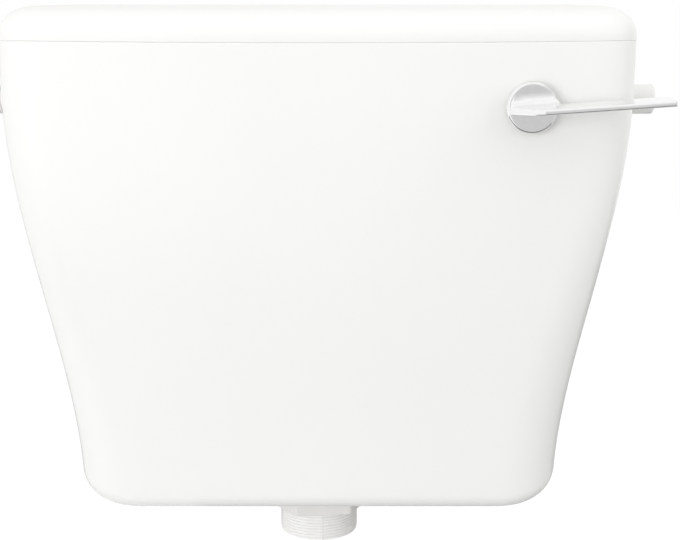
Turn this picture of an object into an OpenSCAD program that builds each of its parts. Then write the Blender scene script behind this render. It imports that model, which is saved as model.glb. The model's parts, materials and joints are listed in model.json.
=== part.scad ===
// Low-level toilet cistern: a tapered plastic tank with a lift-off lid, a side lever,
// a two-part siphon over a threaded outlet, a side-entry float valve and an overflow.
// The origin is midway between the two wall-fixing holes, on the wall plane.
// +X is right seen from the front, +Y goes into the wall and +Z is up. Lengths are in mm.

/* [Tank] */
// Width of the tank at its rim
rim_w = 427; // [405:1:460]
// Depth of the tank at its rim, from the wall to the front
rim_depth = 180; // [172:1:200]
// Height from the underside of the base to the rim
tank_h = 330; // [320:1:360]
// Thickness of the front, back and side walls
wall_t = 3.5; // [2.5:0.1:5]
// Thickness of the floor
floor_t = 4; // [3:0.1:6]
// How far each side draws in between the rim and the base
side_taper = 39.5; // [30:0.5:50]
// How far the front draws back between the rim and the base
front_taper = 12; // [0:0.5:20]
// Depth below the rim where the walls start to draw in
taper_start = 31; // [20:1:60]
// Radius of the front corners at the rim, seen from above
front_corner_r = 28; // [20:1:40]
// Radius of the front corners at the base, seen from above
base_corner_r = 40; // [25:1:50]
// Radius of the back corners, seen from above
back_corner_r = 12; // [8:1:20]
// Radius of the edge all round the base
base_edge_r = 12; // [8:1:20]

/* [Lid] */
// Height of the lid above the rim
lid_h = 25; // [22:0.5:34]
// Thickness of the lid
lid_t = 3; // [2:0.1:4]
// Upright band at the foot of the lid
lid_band = 3; // [2:0.5:5]
// Width of the rounded edge all round the lid
lid_edge_r = 22; // [14:1:24]
// Rise of the lid's crown above its rounded edge
lid_crown = 2.5; // [1:0.5:4]
// Depth of the skirt that drops inside the rim
skirt_h = 8; // [5:0.5:12]
// Thickness of that skirt
skirt_t = 2; // [1.5:0.1:3]

/* [Wall fixings] */
// Distance between the two fixing holes in the back wall
fixing_spacing = 300; // [240:1:330]
// Depth of the fixing holes below the rim
fixing_drop = 30; // [24:1:40]
// Diameter of each fixing hole
fixing_d = 7; // [5:0.5:9]
// Diameter of the pad round each fixing hole
fixing_pad_d = 24; // [18:1:30]
// Height of that pad above the back wall
fixing_pad_t = 2; // [1:0.5:4]

/* [Lever] */
// Distance of the lever's spindle to the right of the middle
lever_x = 140; // [130:1:150]
// Depth of the spindle below the rim
lever_drop = 43; // [38:1:50]
// Angle that the lever turns through
lever_throw = 38; // [24:1:40]
// Angle that the blade stands up by when the lever is at rest
blade_tilt = 4; // [0:1:8]
// Diameter of the hub's round face
hub_d = 33.5; // [30:0.5:38]
// How far the hub's face stands in front of the tank
hub_h = 8; // [7:0.5:12]
// Radius of the hub's front edge
hub_edge_r = 1.8; // [0.5:0.1:2.5]
// Length of the blade from the spindle to its tip
blade_len = 88.5; // [70:0.5:110]
// How far the blade reaches in front of the hub's face
blade_reach = 18; // [14:1:24]
// Thickness of the blade where it leaves the hub
blade_root_t = 5.2; // [4:0.1:7]
// Height of the blade's root top above the spindle
blade_root_rise = 1.8; // [0:0.1:4]
// Thickness of the blade along its front edge
blade_edge_t = 3.6; // [2:0.1:4]
// How far the top of the front edge lies below the root's top
blade_drop = 2.6; // [2:0.1:6]
// Radius of the blade's tip at the back
blade_tip_r = 8; // [4:0.5:10]
// Radius of the cove between the hub's face and the blade
cove_r = 7; // [4:0.5:8]
// Diameter of the spindle in its bush
journal_d = 12; // [11.5:0.5:14]
// Side of the square part of the spindle
square_w = 8; // [6:0.5:8]
// Length of the square tang in the hub
tang_h = 4; // [3:0.5:5]
// Outer diameter of the bush's thread
bush_d = 18; // [17:0.5:22]
// Pitch of the bush's thread
bush_pitch = 1.5; // [1:0.25:2]
// Length of the bush behind the tank's face
bush_len = 20; // [18:1:26]
// Diameter of the bush's flange
bush_flange_d = 27; // [24:0.5:28]
// Thickness of the bush's flange
bush_flange_t = 2.4; // [1.5:0.1:3]
// Height of the flat boss behind the front wall
bush_boss_t = 1; // [0.5:0.5:2]
// Thickness of the bush's washer
bush_washer_t = 1.5; // [1:0.5:3]
// Size of the bush's nut across its flats
bush_nut_af = 27; // [25:0.5:32]
// Height of the bush's nut
bush_nut_h = 7; // [5:0.5:8]
// Thickness of the clip that keeps the spindle in its bush
clip_t = 1.2; // [0.8:0.1:1.6]
// Diameter of the lift arm's hub
arm_hub_d = 20; // [18:0.5:26]
// Width of the lift arm's hub along the spindle
arm_hub_w = 14; // [12:0.5:18]
// Thickness of the lift arm's bar
arm_t = 6; // [5:0.5:8]
// Height of the lift arm's bar
arm_h = 11; // [9:0.5:13]
// Length of the slot at the end of the lift arm
arm_slot = 11; // [9:0.5:13]
// Diameter of the clamp screw in the lift arm
clamp_d = 5; // [4:0.5:6]

/* [Siphon] */
// Distance of the outlet in front of the wall
outlet_back = 88; // [84:1:94]
// Outer diameter of the outlet's thread
tail_d = 59.614; // [50:0.001:60]
// Pitch of the outlet's thread
tail_pitch = 2.309; // [1.8:0.001:3]
// Bore of the outlet and of the siphon's legs
tail_bore = 50; // [40:0.5:51]
// Length of the outlet below the base
tail_len = 45; // [38:1:55]
// Diameter of the outlet's flange inside the tank
tail_flange_d = 80; // [74:1:82]
// Thickness of that flange
tail_flange_t = 6; // [4:0.5:8]
// Height of the threaded neck above the flange
neck_h = 21; // [18:1:26]
// Thickness of the seal under the flange
seal_t = 3; // [2:0.5:4]
// Thickness of the washer under the tank
base_washer_t = 3; // [2:0.5:4]
// Diameter of the washer under the tank
base_washer_d = 82; // [76:1:86]
// Size of the outlet's nut across its flats
backnut_af = 73; // [70:0.5:78]
// Height of the outlet's nut
backnut_h = 19.5; // [14:0.5:22]
// Angle that the outlet's nut is turned by
backnut_turn = 6; // [0:1:30]
// Thickness of the union's flat seal
union_seal_t = 2; // [1.5:0.5:3]
// Thickness of the flange at the foot of the siphon
foot_t = 4; // [3:0.5:5]
// Thickness of the union collar's lip
collar_lip_t = 3; // [2:0.5:4]
// Outer diameter of the union collar
collar_d = 75; // [72:0.5:78]
// Number of grip ribs on the union collar
collar_ribs = 12; // [6:1:18]
// Wall of the siphon
tube_t = 3; // [2:0.1:4]
// Distance between the siphon's two legs
siphon_span = 88; // [86:1:96]
// Depth of the siphon's crown below the rim
crown_drop = 80; // [78:1:100]
// Outer diameter of the bell
bell_d = 88; // [80:1:90]
// Height of the bell's straight wall
bell_h = 60; // [56:1:80]
// Height of the cone above the bell
cone_h = 20; // [14:1:30]
// Gap between the bell's mouth and the floor
bell_gap = 20; // [16:1:26]
// Diameter of the lift rod
rod_d = 5; // [4:0.5:6]
// Depth of the rod guide's seat below the crown
guide_drop = 8; // [6:0.5:12]
// Height of the lift plate above the bell's mouth at rest
plate_lift = 8; // [6:0.5:12]
// Thickness of the lift plate
plate_t = 4; // [3:0.5:5]
// Number of holes in the lift plate
plate_holes = 6; // [4:1:8]
// Diameter of each hole in the lift plate
plate_hole_d = 18; // [12:0.5:20]
// Thickness of the siphon's diaphragm
flap_t = 1.2; // [0.6:0.1:2]
// Diameter of the washer that holds the diaphragm
flap_washer_d = 30; // [20:0.5:34]
// Thickness of that washer
flap_washer_t = 3; // [2:0.5:5]
// Diameter of the wire of the lift link
link_d = 3; // [2.5:0.25:3.5]

/* [Fill valve] */
// Depth of the inlet and the overflow below the rim
port_drop = 42; // [40:1:55]
// Distance of the inlet and the overflow in front of the wall
port_back = 85; // [76:1:92]
// Diameter of the flat pad round each of these two holes
port_pad_d = 46; // [44:1:52]
// Height of that pad inside the wall
port_pad_in = 1.5; // [1:0.5:3]
// Height of that pad outside the wall
port_pad_out = 1; // [0.5:0.5:2]
// Outer diameter of the inlet's thread
inlet_d = 20.955; // [16:0.001:26.5]
// Pitch of the inlet's thread
inlet_pitch = 1.814; // [1.2:0.001:2.4]
// Length of the inlet outside the wall
inlet_len = 40; // [34:1:55]
// Bore of the inlet
inlet_bore = 11; // [8:0.5:12]
// Thickness of the inlet's seal
inlet_seal_t = 2.5; // [1.5:0.5:4]
// Diameter of the inlet's flange
inlet_flange_d = 34; // [30:0.5:40]
// Thickness of the inlet's flange
inlet_flange_t = 4; // [3:0.5:6]
// Size of the inlet's nut across its flats
inlet_nut_af = 30; // [27:0.5:36]
// Height of the inlet's nut
inlet_nut_h = 9; // [6:0.5:12]
// Diameter of the valve's barrel
barrel_d = 26; // [22:0.5:30]
// Length of the valve's barrel
barrel_len = 32; // [28:1:40]
// Diameter of the valve's diaphragm housing
housing_d = 44; // [40:0.5:50]
// Length of the valve's diaphragm housing
housing_len = 12; // [10:0.5:16]
// Thickness of the valve's diaphragm
valve_flap_t = 2; // [1.5:0.5:3]
// Wall of the valve's cap
cap_t = 3; // [2:0.5:4]
// Diameter of the discharge tube
spout_d = 13; // [11:0.5:15]
// Length of the discharge tube below its boss
spout_len = 95; // [60:1:110]
// Length of the inlet's filter
filter_len = 22; // [14:1:28]

/* [Float] */
// Distance of the float arm's pivot from the valve's cap
pivot_reach = 10; // [9:0.5:14]
// Depth of that pivot below the inlet
pivot_drop = 12; // [10:0.5:16]
// Diameter of the pivot pin
pivot_d = 4; // [3:0.5:5]
// Length of the float arm from its pivot
float_arm_len = 70; // [60:1:76]
// Angle that the float arm hangs down by at rest
float_throw = 12; // [6:1:16]
// Width and height of the float arm's bar
float_bar_w = 8; // [6:0.5:10]
// Diameter of the float's stem
stem_d = 6; // [5:0.5:8]
// Depth of the float's middle below the pivot
float_drop = 100; // [80:1:110]
// Diameter of the float
float_d = 50; // [40:1:54]
// Height of the float
float_h = 62; // [40:1:70]

/* [Overflow] */
// Outer diameter of the overflow's thread
overflow_d = 26.441; // [20:0.001:33]
// Pitch of the overflow's thread
overflow_pitch = 1.814; // [1.2:0.001:2.4]
// Length of the overflow's thread outside the wall
overflow_thread_len = 13; // [12:0.5:20]
// Diameter of the overflow's spigot
spigot_d = 21.5; // [18:0.1:23]
// Length of the overflow's spigot
spigot_len = 18; // [12:1:40]
// Bore of the overflow
overflow_bore = 17; // [12:0.5:18]
// Thickness of the overflow's washer
overflow_seal_t = 2; // [1:0.5:4]
// Diameter of the overflow's flange
overflow_flange_d = 38; // [34:0.5:42]
// Thickness of the overflow's flange
overflow_flange_t = 3; // [2:0.5:5]
// Size of the overflow's nut across its flats
overflow_nut_af = 36; // [34:0.5:40]
// Height of the overflow's nut
overflow_nut_h = 9; // [6:0.5:11]

/* [Fits] */
// Radial clearance of a pin or shaft that turns or slides in a hole
run_clear = 0.06; // [0.02:0.01:0.1]
// Radial clearance of a thread in its nut
thread_clear = 0.15; // [0.05:0.05:0.3]
// How much smaller a thread's radius is where its own nut sits
thread_relief = 0.35; // [0.3:0.01:0.5]
// Radial clearance of a threaded tail in the tank's hole
hole_clear = 0.5; // [0.2:0.1:1]
// Clearance between pieces that move past each other
move_clear = 0.5; // [0.3:0.1:0.8]
// Clearance between the lid's skirt and the tank's wall
skirt_clear = 0.8; // [0.4:0.1:1.2]
// Clearance between the lift plate and the bell
plate_clear = 1; // [0.5:0.1:2]

/* [Hidden] */
$fn = 64;

tank_white = [0.95, 0.95, 0.94];
moulded_white = [0.90, 0.90, 0.88];
chrome = [0.78, 0.78, 0.80];
steel = [0.66, 0.67, 0.69];
brass = [0.78, 0.62, 0.32];
rubber_black = [0.12, 0.12, 0.13];
rubber_red = [0.55, 0.18, 0.14];
film_clear = [0.82, 0.86, 0.88];
foam_white = [0.97, 0.97, 0.95];
tube_grey = [0.70, 0.72, 0.74];

// Heights of the tank
rim_z = fixing_drop;
base_z = rim_z - tank_h;
floor_z = base_z + floor_t;
rim_half = rim_w / 2;
corner_steps = 8;
edge_steps = 5;
wall_rows = 20;
least_r = 1;
over = 1;

// Share of the taper that is reached at a height, eased at both ends
function ease(u) = let (t = max(0, min(1, u))) t * t * (3 - 2 * t);
function taper_at(z) = ease((rim_z - taper_start - z) / (tank_h - taper_start));
function half_w(z) = rim_half - side_taper * taper_at(z);
function depth_at(z) = rim_depth - front_taper * taper_at(z);
function front_r(z) = front_corner_r + (base_corner_r - front_corner_r) * taper_at(z);

// One corner of an outline, as points on an arc
function corner(x, y, r, from, z) = [
    for (i = [0:corner_steps])
        let (a = from + 90 * i / corner_steps) [x + r * cos(a), y + r * sin(a), z]
];

// The tank's outline at a height, drawn in all round by an inset
function outline(z, inset, shape_z) =
    let (
        half = half_w(shape_z) - inset,
        front = depth_at(shape_z) - inset,
        rf = max(front_r(shape_z) - inset, least_r),
        rb = max(back_corner_r - inset, least_r)
    )
    concat(
        corner(half - rf, rf - front, rf, -90, z),
        corner(half - rb, -inset - rb, rb, 0, z),
        corner(rb - half, -inset - rb, rb, 90, z),
        corner(rf - half, rf - front, rf, 180, z)
    );
function tank_outline(z, inset) = outline(z, inset, z);

// Skin through a list of outlines, closed by a flat face at each end
module skin(outlines) {
    count = len(outlines[0]);
    last = len(outlines) - 1;
    sides = [
        for (k = [0:last - 1], i = [0:count - 1])
            let (a = k * count, b = a + count, j = (i + 1) % count)
                each [[a + i, b + i, b + j], [a + i, b + j, a + j]]
    ];
    first_end = [for (i = [0:count - 1]) i];
    last_end = [for (i = [count - 1:-1:0]) last * count + i];
    polyhedron(points = [for (line = outlines) each line], faces = concat([first_end, last_end], sides));
}

// Outlines of the tank from the edge of its base to its rim
function wall_outlines(bottom, edge_r, inset) = concat(
    [
        for (i = [0:edge_steps])
            let (a = 90 * i / edge_steps)
                tank_outline(bottom + edge_r * (1 - cos(a)), inset + edge_r * (1 - sin(a)))
    ],
    [
        for (i = [1:wall_rows])
            let (z = bottom + edge_r + (rim_z - bottom - edge_r) * i / wall_rows) tank_outline(z, inset)
    ]
);
function backwards(list) = [for (i = [len(list) - 1:-1:0]) list[i]];

// Forms of the threads and nuts, as shares of the pitch or of the nut's corners
thread_depth = 0.64;
thread_flat = 1 / 6;
nut_round = 0.72;
nut_bevel = 0.25;
core_r = 1;

// Ring thread at a true pitch along +Z, with flat crests
module ring_thread(r, pitch, bore_r, h) {
    depth = thread_depth * pitch;
    flat = thread_flat * pitch;
    flank = pitch / 2 - flat;
    turns = floor((h - pitch / 2) / pitch);
    start = (h - turns * pitch) / 2;
    ridges = [
        for (k = [0:turns - 1])
            let (low = start + k * pitch + flat / 2, high = low + 2 * flank + flat)
                each [[r - depth, low], [r, low + flank], [r, high - flank], [r - depth, high]]
    ];
    rotate_extrude()
        polygon(concat([[bore_r, 0], [r - depth, 0]], ridges, [[r - depth, h], [bore_r, h]]));
}

module ring(d, bore, h) {
    difference() {
        cylinder(d = d, h = h);
        translate([0, 0, -over]) cylinder(d = bore, h = h + 2 * over);
    }
}

// Hexagon nut with softened corners and chamfered ends
module hex_nut(af, bore, h) {
    corner_d = af / cos(30);
    soft_d = af + nut_round * (corner_d - af);
    end_d = soft_d - 2 * nut_bevel * (corner_d - af);
    difference() {
        intersection() {
            cylinder(d = corner_d, h = h, $fn = 6);
            cylinder(d1 = end_d, d2 = end_d + 2 * h, h = h);
            cylinder(d1 = end_d + 2 * h, d2 = end_d, h = h);
            cylinder(d = soft_d, h = h);
        }
        translate([0, 0, -over]) cylinder(d = bore, h = h + 2 * over);
    }
}

// Places: the lever's axis out of the front, and the ports' axis along +X
port_z = rim_z - port_drop;
lever_z = rim_z - lever_drop;
module on_front() { translate([lever_x, -rim_depth, lever_z]) rotate([90, 0, 0]) children(); }
module along_x(x) { translate([x, -port_back, port_z]) rotate([0, 90, 0]) children(); }
module at_outlet(z) { translate([0, -outlet_back, z]) children(); }
module at_rod(z) { translate([siphon_span, -outlet_back, z]) children(); }

port_inner_x = rim_half - wall_t - port_pad_in;
port_outer_x = rim_half + port_pad_out;
port_t = port_outer_x - port_inner_x;
bush_hole_d = bush_d + 2 * hole_clear;
outlet_hole_d = tail_d + 2 * hole_clear;
inlet_hole_d = inlet_d + 2 * hole_clear;
overflow_hole_d = overflow_d + 2 * hole_clear;
seat_rim = 2;
bush_seat_d = bush_nut_af / cos(30) + 2 * seat_rim;

module cistern_body() {
    inner_edge_r = max(base_edge_r - wall_t, least_r);
    color(tank_white)
    difference() {
        union() {
            skin(concat(
                wall_outlines(base_z, base_edge_r, 0),
                backwards(wall_outlines(floor_z, inner_edge_r, wall_t))
            ));
            on_front()
                translate([0, 0, -wall_t - bush_boss_t])
                    cylinder(d = bush_seat_d, h = wall_t / 2 + bush_boss_t);
            for (x = [-port_outer_x, port_inner_x])
                along_x(x) cylinder(d = port_pad_d, h = port_t);
            for (x = [-1, 1])
                translate([x * fixing_spacing / 2, -wall_t / 2, 0]) rotate([90, 0, 0])
                    cylinder(d = fixing_pad_d, h = wall_t / 2 + fixing_pad_t);
        }
        on_front()
            translate([0, 0, -wall_t - bush_boss_t - over])
                cylinder(d = bush_hole_d, h = wall_t + bush_boss_t + 2 * over);
        along_x(-port_outer_x - over) cylinder(d = inlet_hole_d, h = port_t + 2 * over);
        along_x(port_inner_x - over) cylinder(d = overflow_hole_d, h = port_t + 2 * over);
        at_outlet(base_z - over) cylinder(d = outlet_hole_d, h = floor_t + 2 * over);
        for (x = [-1, 1])
            translate([x * fixing_spacing / 2, over, 0]) rotate([90, 0, 0])
                cylinder(d = fixing_d, h = wall_t + fixing_pad_t + 2 * over);
    }
}

// The lid's outlines share the rim's plan, rounded over and crowned
lid_edge_z = rim_z + lid_band;
lid_edge_h = lid_h - lid_band - lid_crown;
crown_run = 50;
crown_steps = 5;
lid_steps = 8;
ledge_fall = 0.5;
// The rounded edge ends where it is as steep as the crown's start
edge_end = atan(lid_edge_h / lid_edge_r * crown_run / (2 * lid_crown));
function lid_outline(z, inset) = outline(z, inset, rim_z);
function edge_z(shell, a) = lid_edge_z + (lid_edge_h - shell) * sin(a);
function edge_inset(shell, a) = lid_edge_r - (lid_edge_r - shell) * cos(a);
function lid_edge(shell) = [
    for (i = [0:lid_steps])
        let (a = edge_end * i / lid_steps) lid_outline(edge_z(shell, a), edge_inset(shell, a))
];
function lid_crowning(shell) =
    let (top = rim_z + lid_h - shell, rise = top - edge_z(shell, edge_end))
    [
        for (i = [1:crown_steps])
            let (t = i / crown_steps)
                lid_outline(top - rise * pow(1 - t, 2), edge_inset(shell, edge_end) + crown_run * t)
    ];

module lid() {
    skirt_out = wall_t + skirt_clear;
    skirt_in = skirt_out + skirt_t;
    inside = backwards(concat(lid_edge(lid_t), lid_crowning(lid_t)));
    foot = [
        lid_outline(lid_edge_z - ledge_fall, skirt_in),
        lid_outline(rim_z - skirt_h, skirt_in),
        lid_outline(rim_z - skirt_h, skirt_out),
        lid_outline(rim_z, skirt_out),
        lid_outline(rim_z, 0)
    ];
    color(tank_white) skin(concat(inside, foot, lid_edge(0), lid_crowning(0)));
}

// Lever: z runs out of the tank's front, x to the right and y up
hub_back = move_clear;
hub_recess = bush_flange_t + move_clear;
socket_w = square_w + 2 * run_clear;
arm_rest = lever_throw / 2;
clip_groove = 1;
clip_rim = 2.5;
journal_tail = 2;
square_tail = 3;
clip_groove_d = journal_d - 2 * clip_groove;
clip_front = -bush_len - move_clear;
journal_end = clip_front - clip_t - journal_tail;
arm_z = outlet_back - rim_depth;
square_end = arm_z - arm_hub_w / 2 - square_tail;

// The blade's section as height and reach, from the hub's face to its front edge
module blade_section() {
    edge_top = blade_root_rise - blade_drop;
    polygon([
        [blade_root_rise, -over],
        [edge_top, blade_reach],
        [edge_top - blade_edge_t, blade_reach],
        [blade_root_rise - blade_root_t, -over]
    ]);
}

// The blade seen from above: cut back on the left, with a round corner at the tip
module blade_plan() {
    root = hub_d / 2 - hub_edge_r;
    back = over;
    polygon([
        [-root, -over], [-root, back], [0, blade_reach], [blade_len, blade_reach],
        [blade_len, back + blade_tip_r], [blade_len - blade_tip_r, back], [root, back], [root, -over]
    ]);
    translate([blade_len - blade_tip_r, back + blade_tip_r]) circle(r = blade_tip_r);
}

module lever_blade() {
    intersection() {
        translate([-hub_d, 0, hub_h]) rotate([90, 0, 90])
            linear_extrude(blade_len + 2 * hub_d) blade_section();
        translate([0, blade_root_t, hub_h]) rotate([90, 0, 0])
            linear_extrude(2 * blade_root_t + blade_drop) blade_plan();
    }
}

// The hollow curve that carries the hub's face over into the blade's top
module lever_cove() {
    cove_top = blade_root_rise + cove_r;
    intersection() {
        difference() {
            translate([-hub_d / 2, 0, hub_h - over]) cube([hub_d, cove_top, cove_r + over]);
            translate([-hub_d, cove_top, hub_h + cove_r]) rotate([0, 90, 0])
                cylinder(r = cove_r, h = 2 * hub_d);
        }
        cylinder(d = hub_d - 2 * hub_edge_r, h = hub_h + 2 * cove_r);
    }
}

module lever_handle() {
    color(chrome)
    on_front()
    difference() {
        union() {
            rotate_extrude()
                union() {
                    translate([0, hub_back]) square([hub_d / 2 - hub_edge_r, hub_h - hub_back]);
                    translate([0, hub_back]) square([hub_d / 2, hub_h - hub_back - hub_edge_r]);
                    translate([hub_d / 2 - hub_edge_r, hub_h - hub_edge_r]) circle(r = hub_edge_r);
                }
            rotate([0, 0, blade_tilt]) {
                lever_blade();
                lever_cove();
            }
        }
        translate([0, 0, -over]) cylinder(d = bush_flange_d + 2 * move_clear, h = hub_recess + over);
        rotate([0, 0, arm_rest]) translate([-socket_w / 2, -socket_w / 2, 0])
            cube([socket_w, socket_w, hub_recess + tang_h + run_clear]);
    }
}

// Round in the bush, square through the hub and the lift arm, with a groove for its clip
module lever_spindle() {
    color(brass)
    on_front() {
        difference() {
            translate([0, 0, journal_end]) cylinder(d = journal_d, h = hub_recess - journal_end);
            translate([0, 0, clip_front - clip_t - run_clear])
                ring(journal_d + over, clip_groove_d, clip_t + 2 * run_clear);
        }
        rotate([0, 0, arm_rest]) {
            translate([-square_w / 2, -square_w / 2, square_end])
                cube([square_w, square_w, journal_end + over - square_end]);
            translate([-square_w / 2, -square_w / 2, 0]) cube([square_w, square_w, hub_recess + tang_h]);
        }
    }
}

module lever_bush() {
    color(moulded_white)
    on_front() {
        translate([0, 0, -bush_len])
            ring_thread(bush_d / 2, bush_pitch, journal_d / 2 + run_clear, bush_len);
        ring(bush_flange_d, journal_d + 2 * run_clear, bush_flange_t);
    }
}

bush_seat = -wall_t - bush_boss_t;
module bush_washer() {
    color(rubber_black)
    on_front() translate([0, 0, bush_seat - bush_washer_t])
        ring(bush_nut_af, bush_hole_d, bush_washer_t);
}

module bush_nut() {
    color(moulded_white)
    on_front() translate([0, 0, bush_seat - bush_washer_t - bush_nut_h])
        hex_nut(bush_nut_af, bush_d + 2 * thread_clear, bush_nut_h);
}

// A ring in the spindle's groove, open on one side
module spindle_clip() {
    color(steel)
    on_front() translate([0, 0, clip_front - clip_t])
        difference() {
            ring(journal_d + 2 * clip_rim, clip_groove_d + 2 * run_clear, clip_t);
            translate([-clip_groove_d / 4, 0, -over])
                cube([clip_groove_d / 2, journal_d, clip_t + 2 * over]);
        }
}

// The lift arm lies along -x before it is turned down to its rest
arm_len = lever_x - siphon_span;
slot_w = link_d + 2 * move_clear;
slot_end = 4;
module arm_frame() { on_front() rotate([0, 0, arm_rest]) translate([0, 0, arm_z]) children(); }

module lift_arm() {
    reach = arm_len / cos(arm_rest);
    slot_mid = (reach + arm_len) / 2;
    tip = slot_mid + arm_slot / 2 + slot_end;
    color(moulded_white)
    arm_frame()
    difference() {
        union() {
            translate([0, 0, -arm_hub_w / 2]) cylinder(d = arm_hub_d, h = arm_hub_w);
            translate([-tip + arm_h / 2, -arm_h / 2, -arm_t / 2]) cube([tip - arm_h / 2, arm_h, arm_t]);
            translate([-tip + arm_h / 2, 0, -arm_t / 2]) cylinder(d = arm_h, h = arm_t);
        }
        translate([-socket_w / 2, -socket_w / 2, -arm_hub_w]) cube([socket_w, socket_w, 2 * arm_hub_w]);
        for (end = [-1, 1])
            translate([-slot_mid + end * (arm_slot - slot_w) / 2, 0, -arm_t])
                cylinder(d = slot_w, h = 2 * arm_t);
        translate([-slot_mid - (arm_slot - slot_w) / 2, -slot_w / 2, -arm_t])
            cube([arm_slot - slot_w, slot_w, 2 * arm_t]);
        rotate([-90, 0, 0]) cylinder(d = clamp_d + 2 * thread_clear, h = arm_hub_d);
    }
}

// A slotted screw that bears on the spindle's flat
module clamp_screw() {
    head_h = 3;
    head_d = 1.7 * clamp_d;
    groove_w = 1.2;
    shank = (arm_hub_d - square_w) / 2 + over;
    color(steel)
    arm_frame() rotate([-90, 0, 0]) translate([0, 0, square_w / 2])
        difference() {
            union() {
                cylinder(d = clamp_d, h = shank);
                translate([0, 0, shank]) cylinder(d = head_d, h = head_h);
            }
            translate([-head_d, -groove_w / 2, shank + head_h / 2]) cube([2 * head_d, groove_w, head_h]);
        }
}

// Heights of the siphon, from the floor up
tail_end_z = base_z - tail_len;
backnut_z = base_z - base_washer_t - backnut_h;
flange_z = floor_z + seal_t;
neck_z = flange_z + tail_flange_t;
union_z = neck_z + neck_h;
foot_z = union_z + union_seal_t;
lip_z = foot_z + foot_t;
leg_d = tail_bore + 2 * tube_t;
bend_r = siphon_span / 2;
crown_z = rim_z - crown_drop;
bend_z = crown_z - bend_r - leg_d / 2;
bell_z = floor_z + bell_gap;
foot_rim = 3;
foot_d = leg_d + 2 * foot_rim;
neck_d = foot_d + 2;
guide_z = crown_z - guide_drop;
guide_flange_t = 2;
guide_wall = 2.5;
guide_d = rod_d + 2 * guide_wall;
boss_wall = 3;
boss_d = guide_d + 2 * boss_wall;

// Heights of the plunger
plate_z = bell_z + plate_lift;
flap_z = plate_z + plate_t;
flap_washer_z = flap_z + flap_t;
plate_d = bell_d - 2 * tube_t - 2 * plate_clear;
rod_nut_h = 4;
rod_tip = 1;
rod_hole_d = rod_d + 2 * run_clear;
eye_wall = 2.5;
eye_w = 4;
eye_gap = 2;
eye_hole_d = link_d + 2 * move_clear;
eye_d = eye_hole_d + 2 * eye_wall;
eye_z = guide_z + guide_flange_t + eye_gap + eye_d / 2;
link_top_z = lever_z - arm_len * tan(arm_rest);
link_side = arm_t / 2 + link_d;

// A wire hook from the lift arm's slot down to the rod's eye
module lift_link() {
    leg_y = -link_side - link_d / 2;
    color(steel)
    at_rod(0) {
        for (z = [link_top_z, eye_z]) {
            translate([0, leg_y, z]) rotate([-90, 0, 0])
                cylinder(d = link_d, h = 2 * link_side + link_d / 2);
            translate([0, leg_y, z]) sphere(d = link_d);
        }
        translate([0, leg_y, eye_z]) cylinder(d = link_d, h = link_top_z - eye_z);
    }
}

module lift_rod() {
    foot = plate_z - rod_nut_h - rod_tip;
    color(brass)
    at_rod(0)
    difference() {
        union() {
            translate([0, 0, foot]) cylinder(d = rod_d, h = eye_z - foot);
            translate([0, eye_w / 2, eye_z]) rotate([90, 0, 0]) cylinder(d = eye_d, h = eye_w);
        }
        translate([0, eye_w, eye_z]) rotate([90, 0, 0]) cylinder(d = eye_hole_d, h = 2 * eye_w);
    }
}

module rod_nut() {
    color(brass)
    at_rod(plate_z - rod_nut_h) hex_nut(2 * rod_d, rod_hole_d, rod_nut_h);
}

module lift_plate() {
    rim = 3;
    ring_r = (plate_d - plate_hole_d) / 2 - rim;
    color(moulded_white)
    at_rod(plate_z)
    difference() {
        cylinder(d = plate_d, h = plate_t);
        translate([0, 0, -over]) cylinder(d = rod_hole_d, h = plate_t + 2 * over);
        for (i = [0:plate_holes - 1])
            rotate(360 * i / plate_holes) translate([ring_r, 0, -over])
                cylinder(d = plate_hole_d, h = plate_t + 2 * over);
    }
}

module siphon_diaphragm() {
    color(film_clear) at_rod(flap_z) ring(plate_d, rod_hole_d, flap_t);
}

module diaphragm_washer() {
    color(moulded_white) at_rod(flap_washer_z) ring(flap_washer_d, rod_hole_d, flap_washer_t);
}

module rod_guide() {
    guide_len = 12;
    color(moulded_white)
    at_rod(guide_z)
    difference() {
        union() {
            cylinder(d = boss_d - 1, h = guide_flange_t);
            translate([0, 0, -guide_len]) cylinder(d = guide_d, h = guide_len);
        }
        translate([0, 0, -guide_len - over])
            cylinder(d = rod_hole_d, h = guide_len + guide_flange_t + 2 * over);
    }
}

// The siphon's path as one solid: bell, cone, riser, half bend and down leg, drawn in by a wall
module siphon_path(wall, end) {
    r = leg_d / 2 - wall;
    bell_r = bell_d / 2 - wall;
    at_rod(0)
        rotate_extrude()
            polygon([
                [0, bell_z - end], [bell_r, bell_z - end], [bell_r, bell_z + bell_h],
                [r, bell_z + bell_h + cone_h], [r, bend_z], [0, bend_z]
            ]);
    translate([bend_r, -outlet_back, bend_z]) rotate([90, 0, 0])
        rotate_extrude(angle = 180) translate([bend_r, 0]) circle(r = r);
    at_outlet(foot_z - end) cylinder(r = r, h = bend_z - foot_z + end);
}

weld_h = 4;
weld_bead = 1;
weld_groove = 0.4;
// Outside bead of the weld where a leg meets the bend
module weld_ring() {
    translate([0, 0, -weld_h / 2]) ring(leg_d + 2 * weld_bead, leg_d - 2 * tube_t + weld_groove, weld_h);
}

// Groove inside the tube at the same weld
module weld_cut() {
    translate([0, 0, -weld_h / 4]) cylinder(d = leg_d - 2 * tube_t + 2 * weld_groove, h = weld_h / 2);
}

module siphon_body() {
    color(moulded_white)
    difference() {
        union() {
            siphon_path(0, 0);
            at_outlet(bend_z) weld_ring();
            at_rod(bend_z) weld_ring();
            at_outlet(foot_z) cylinder(d = foot_d, h = foot_t);
            at_rod(bend_z) cylinder(d = boss_d, h = guide_z - bend_z);
        }
        siphon_path(tube_t, over);
        at_outlet(bend_z) weld_cut();
        at_rod(bend_z) weld_cut();
        at_rod(bend_z) cylinder(d = guide_d + 2 * run_clear, h = guide_z - bend_z + over);
    }
}

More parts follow.
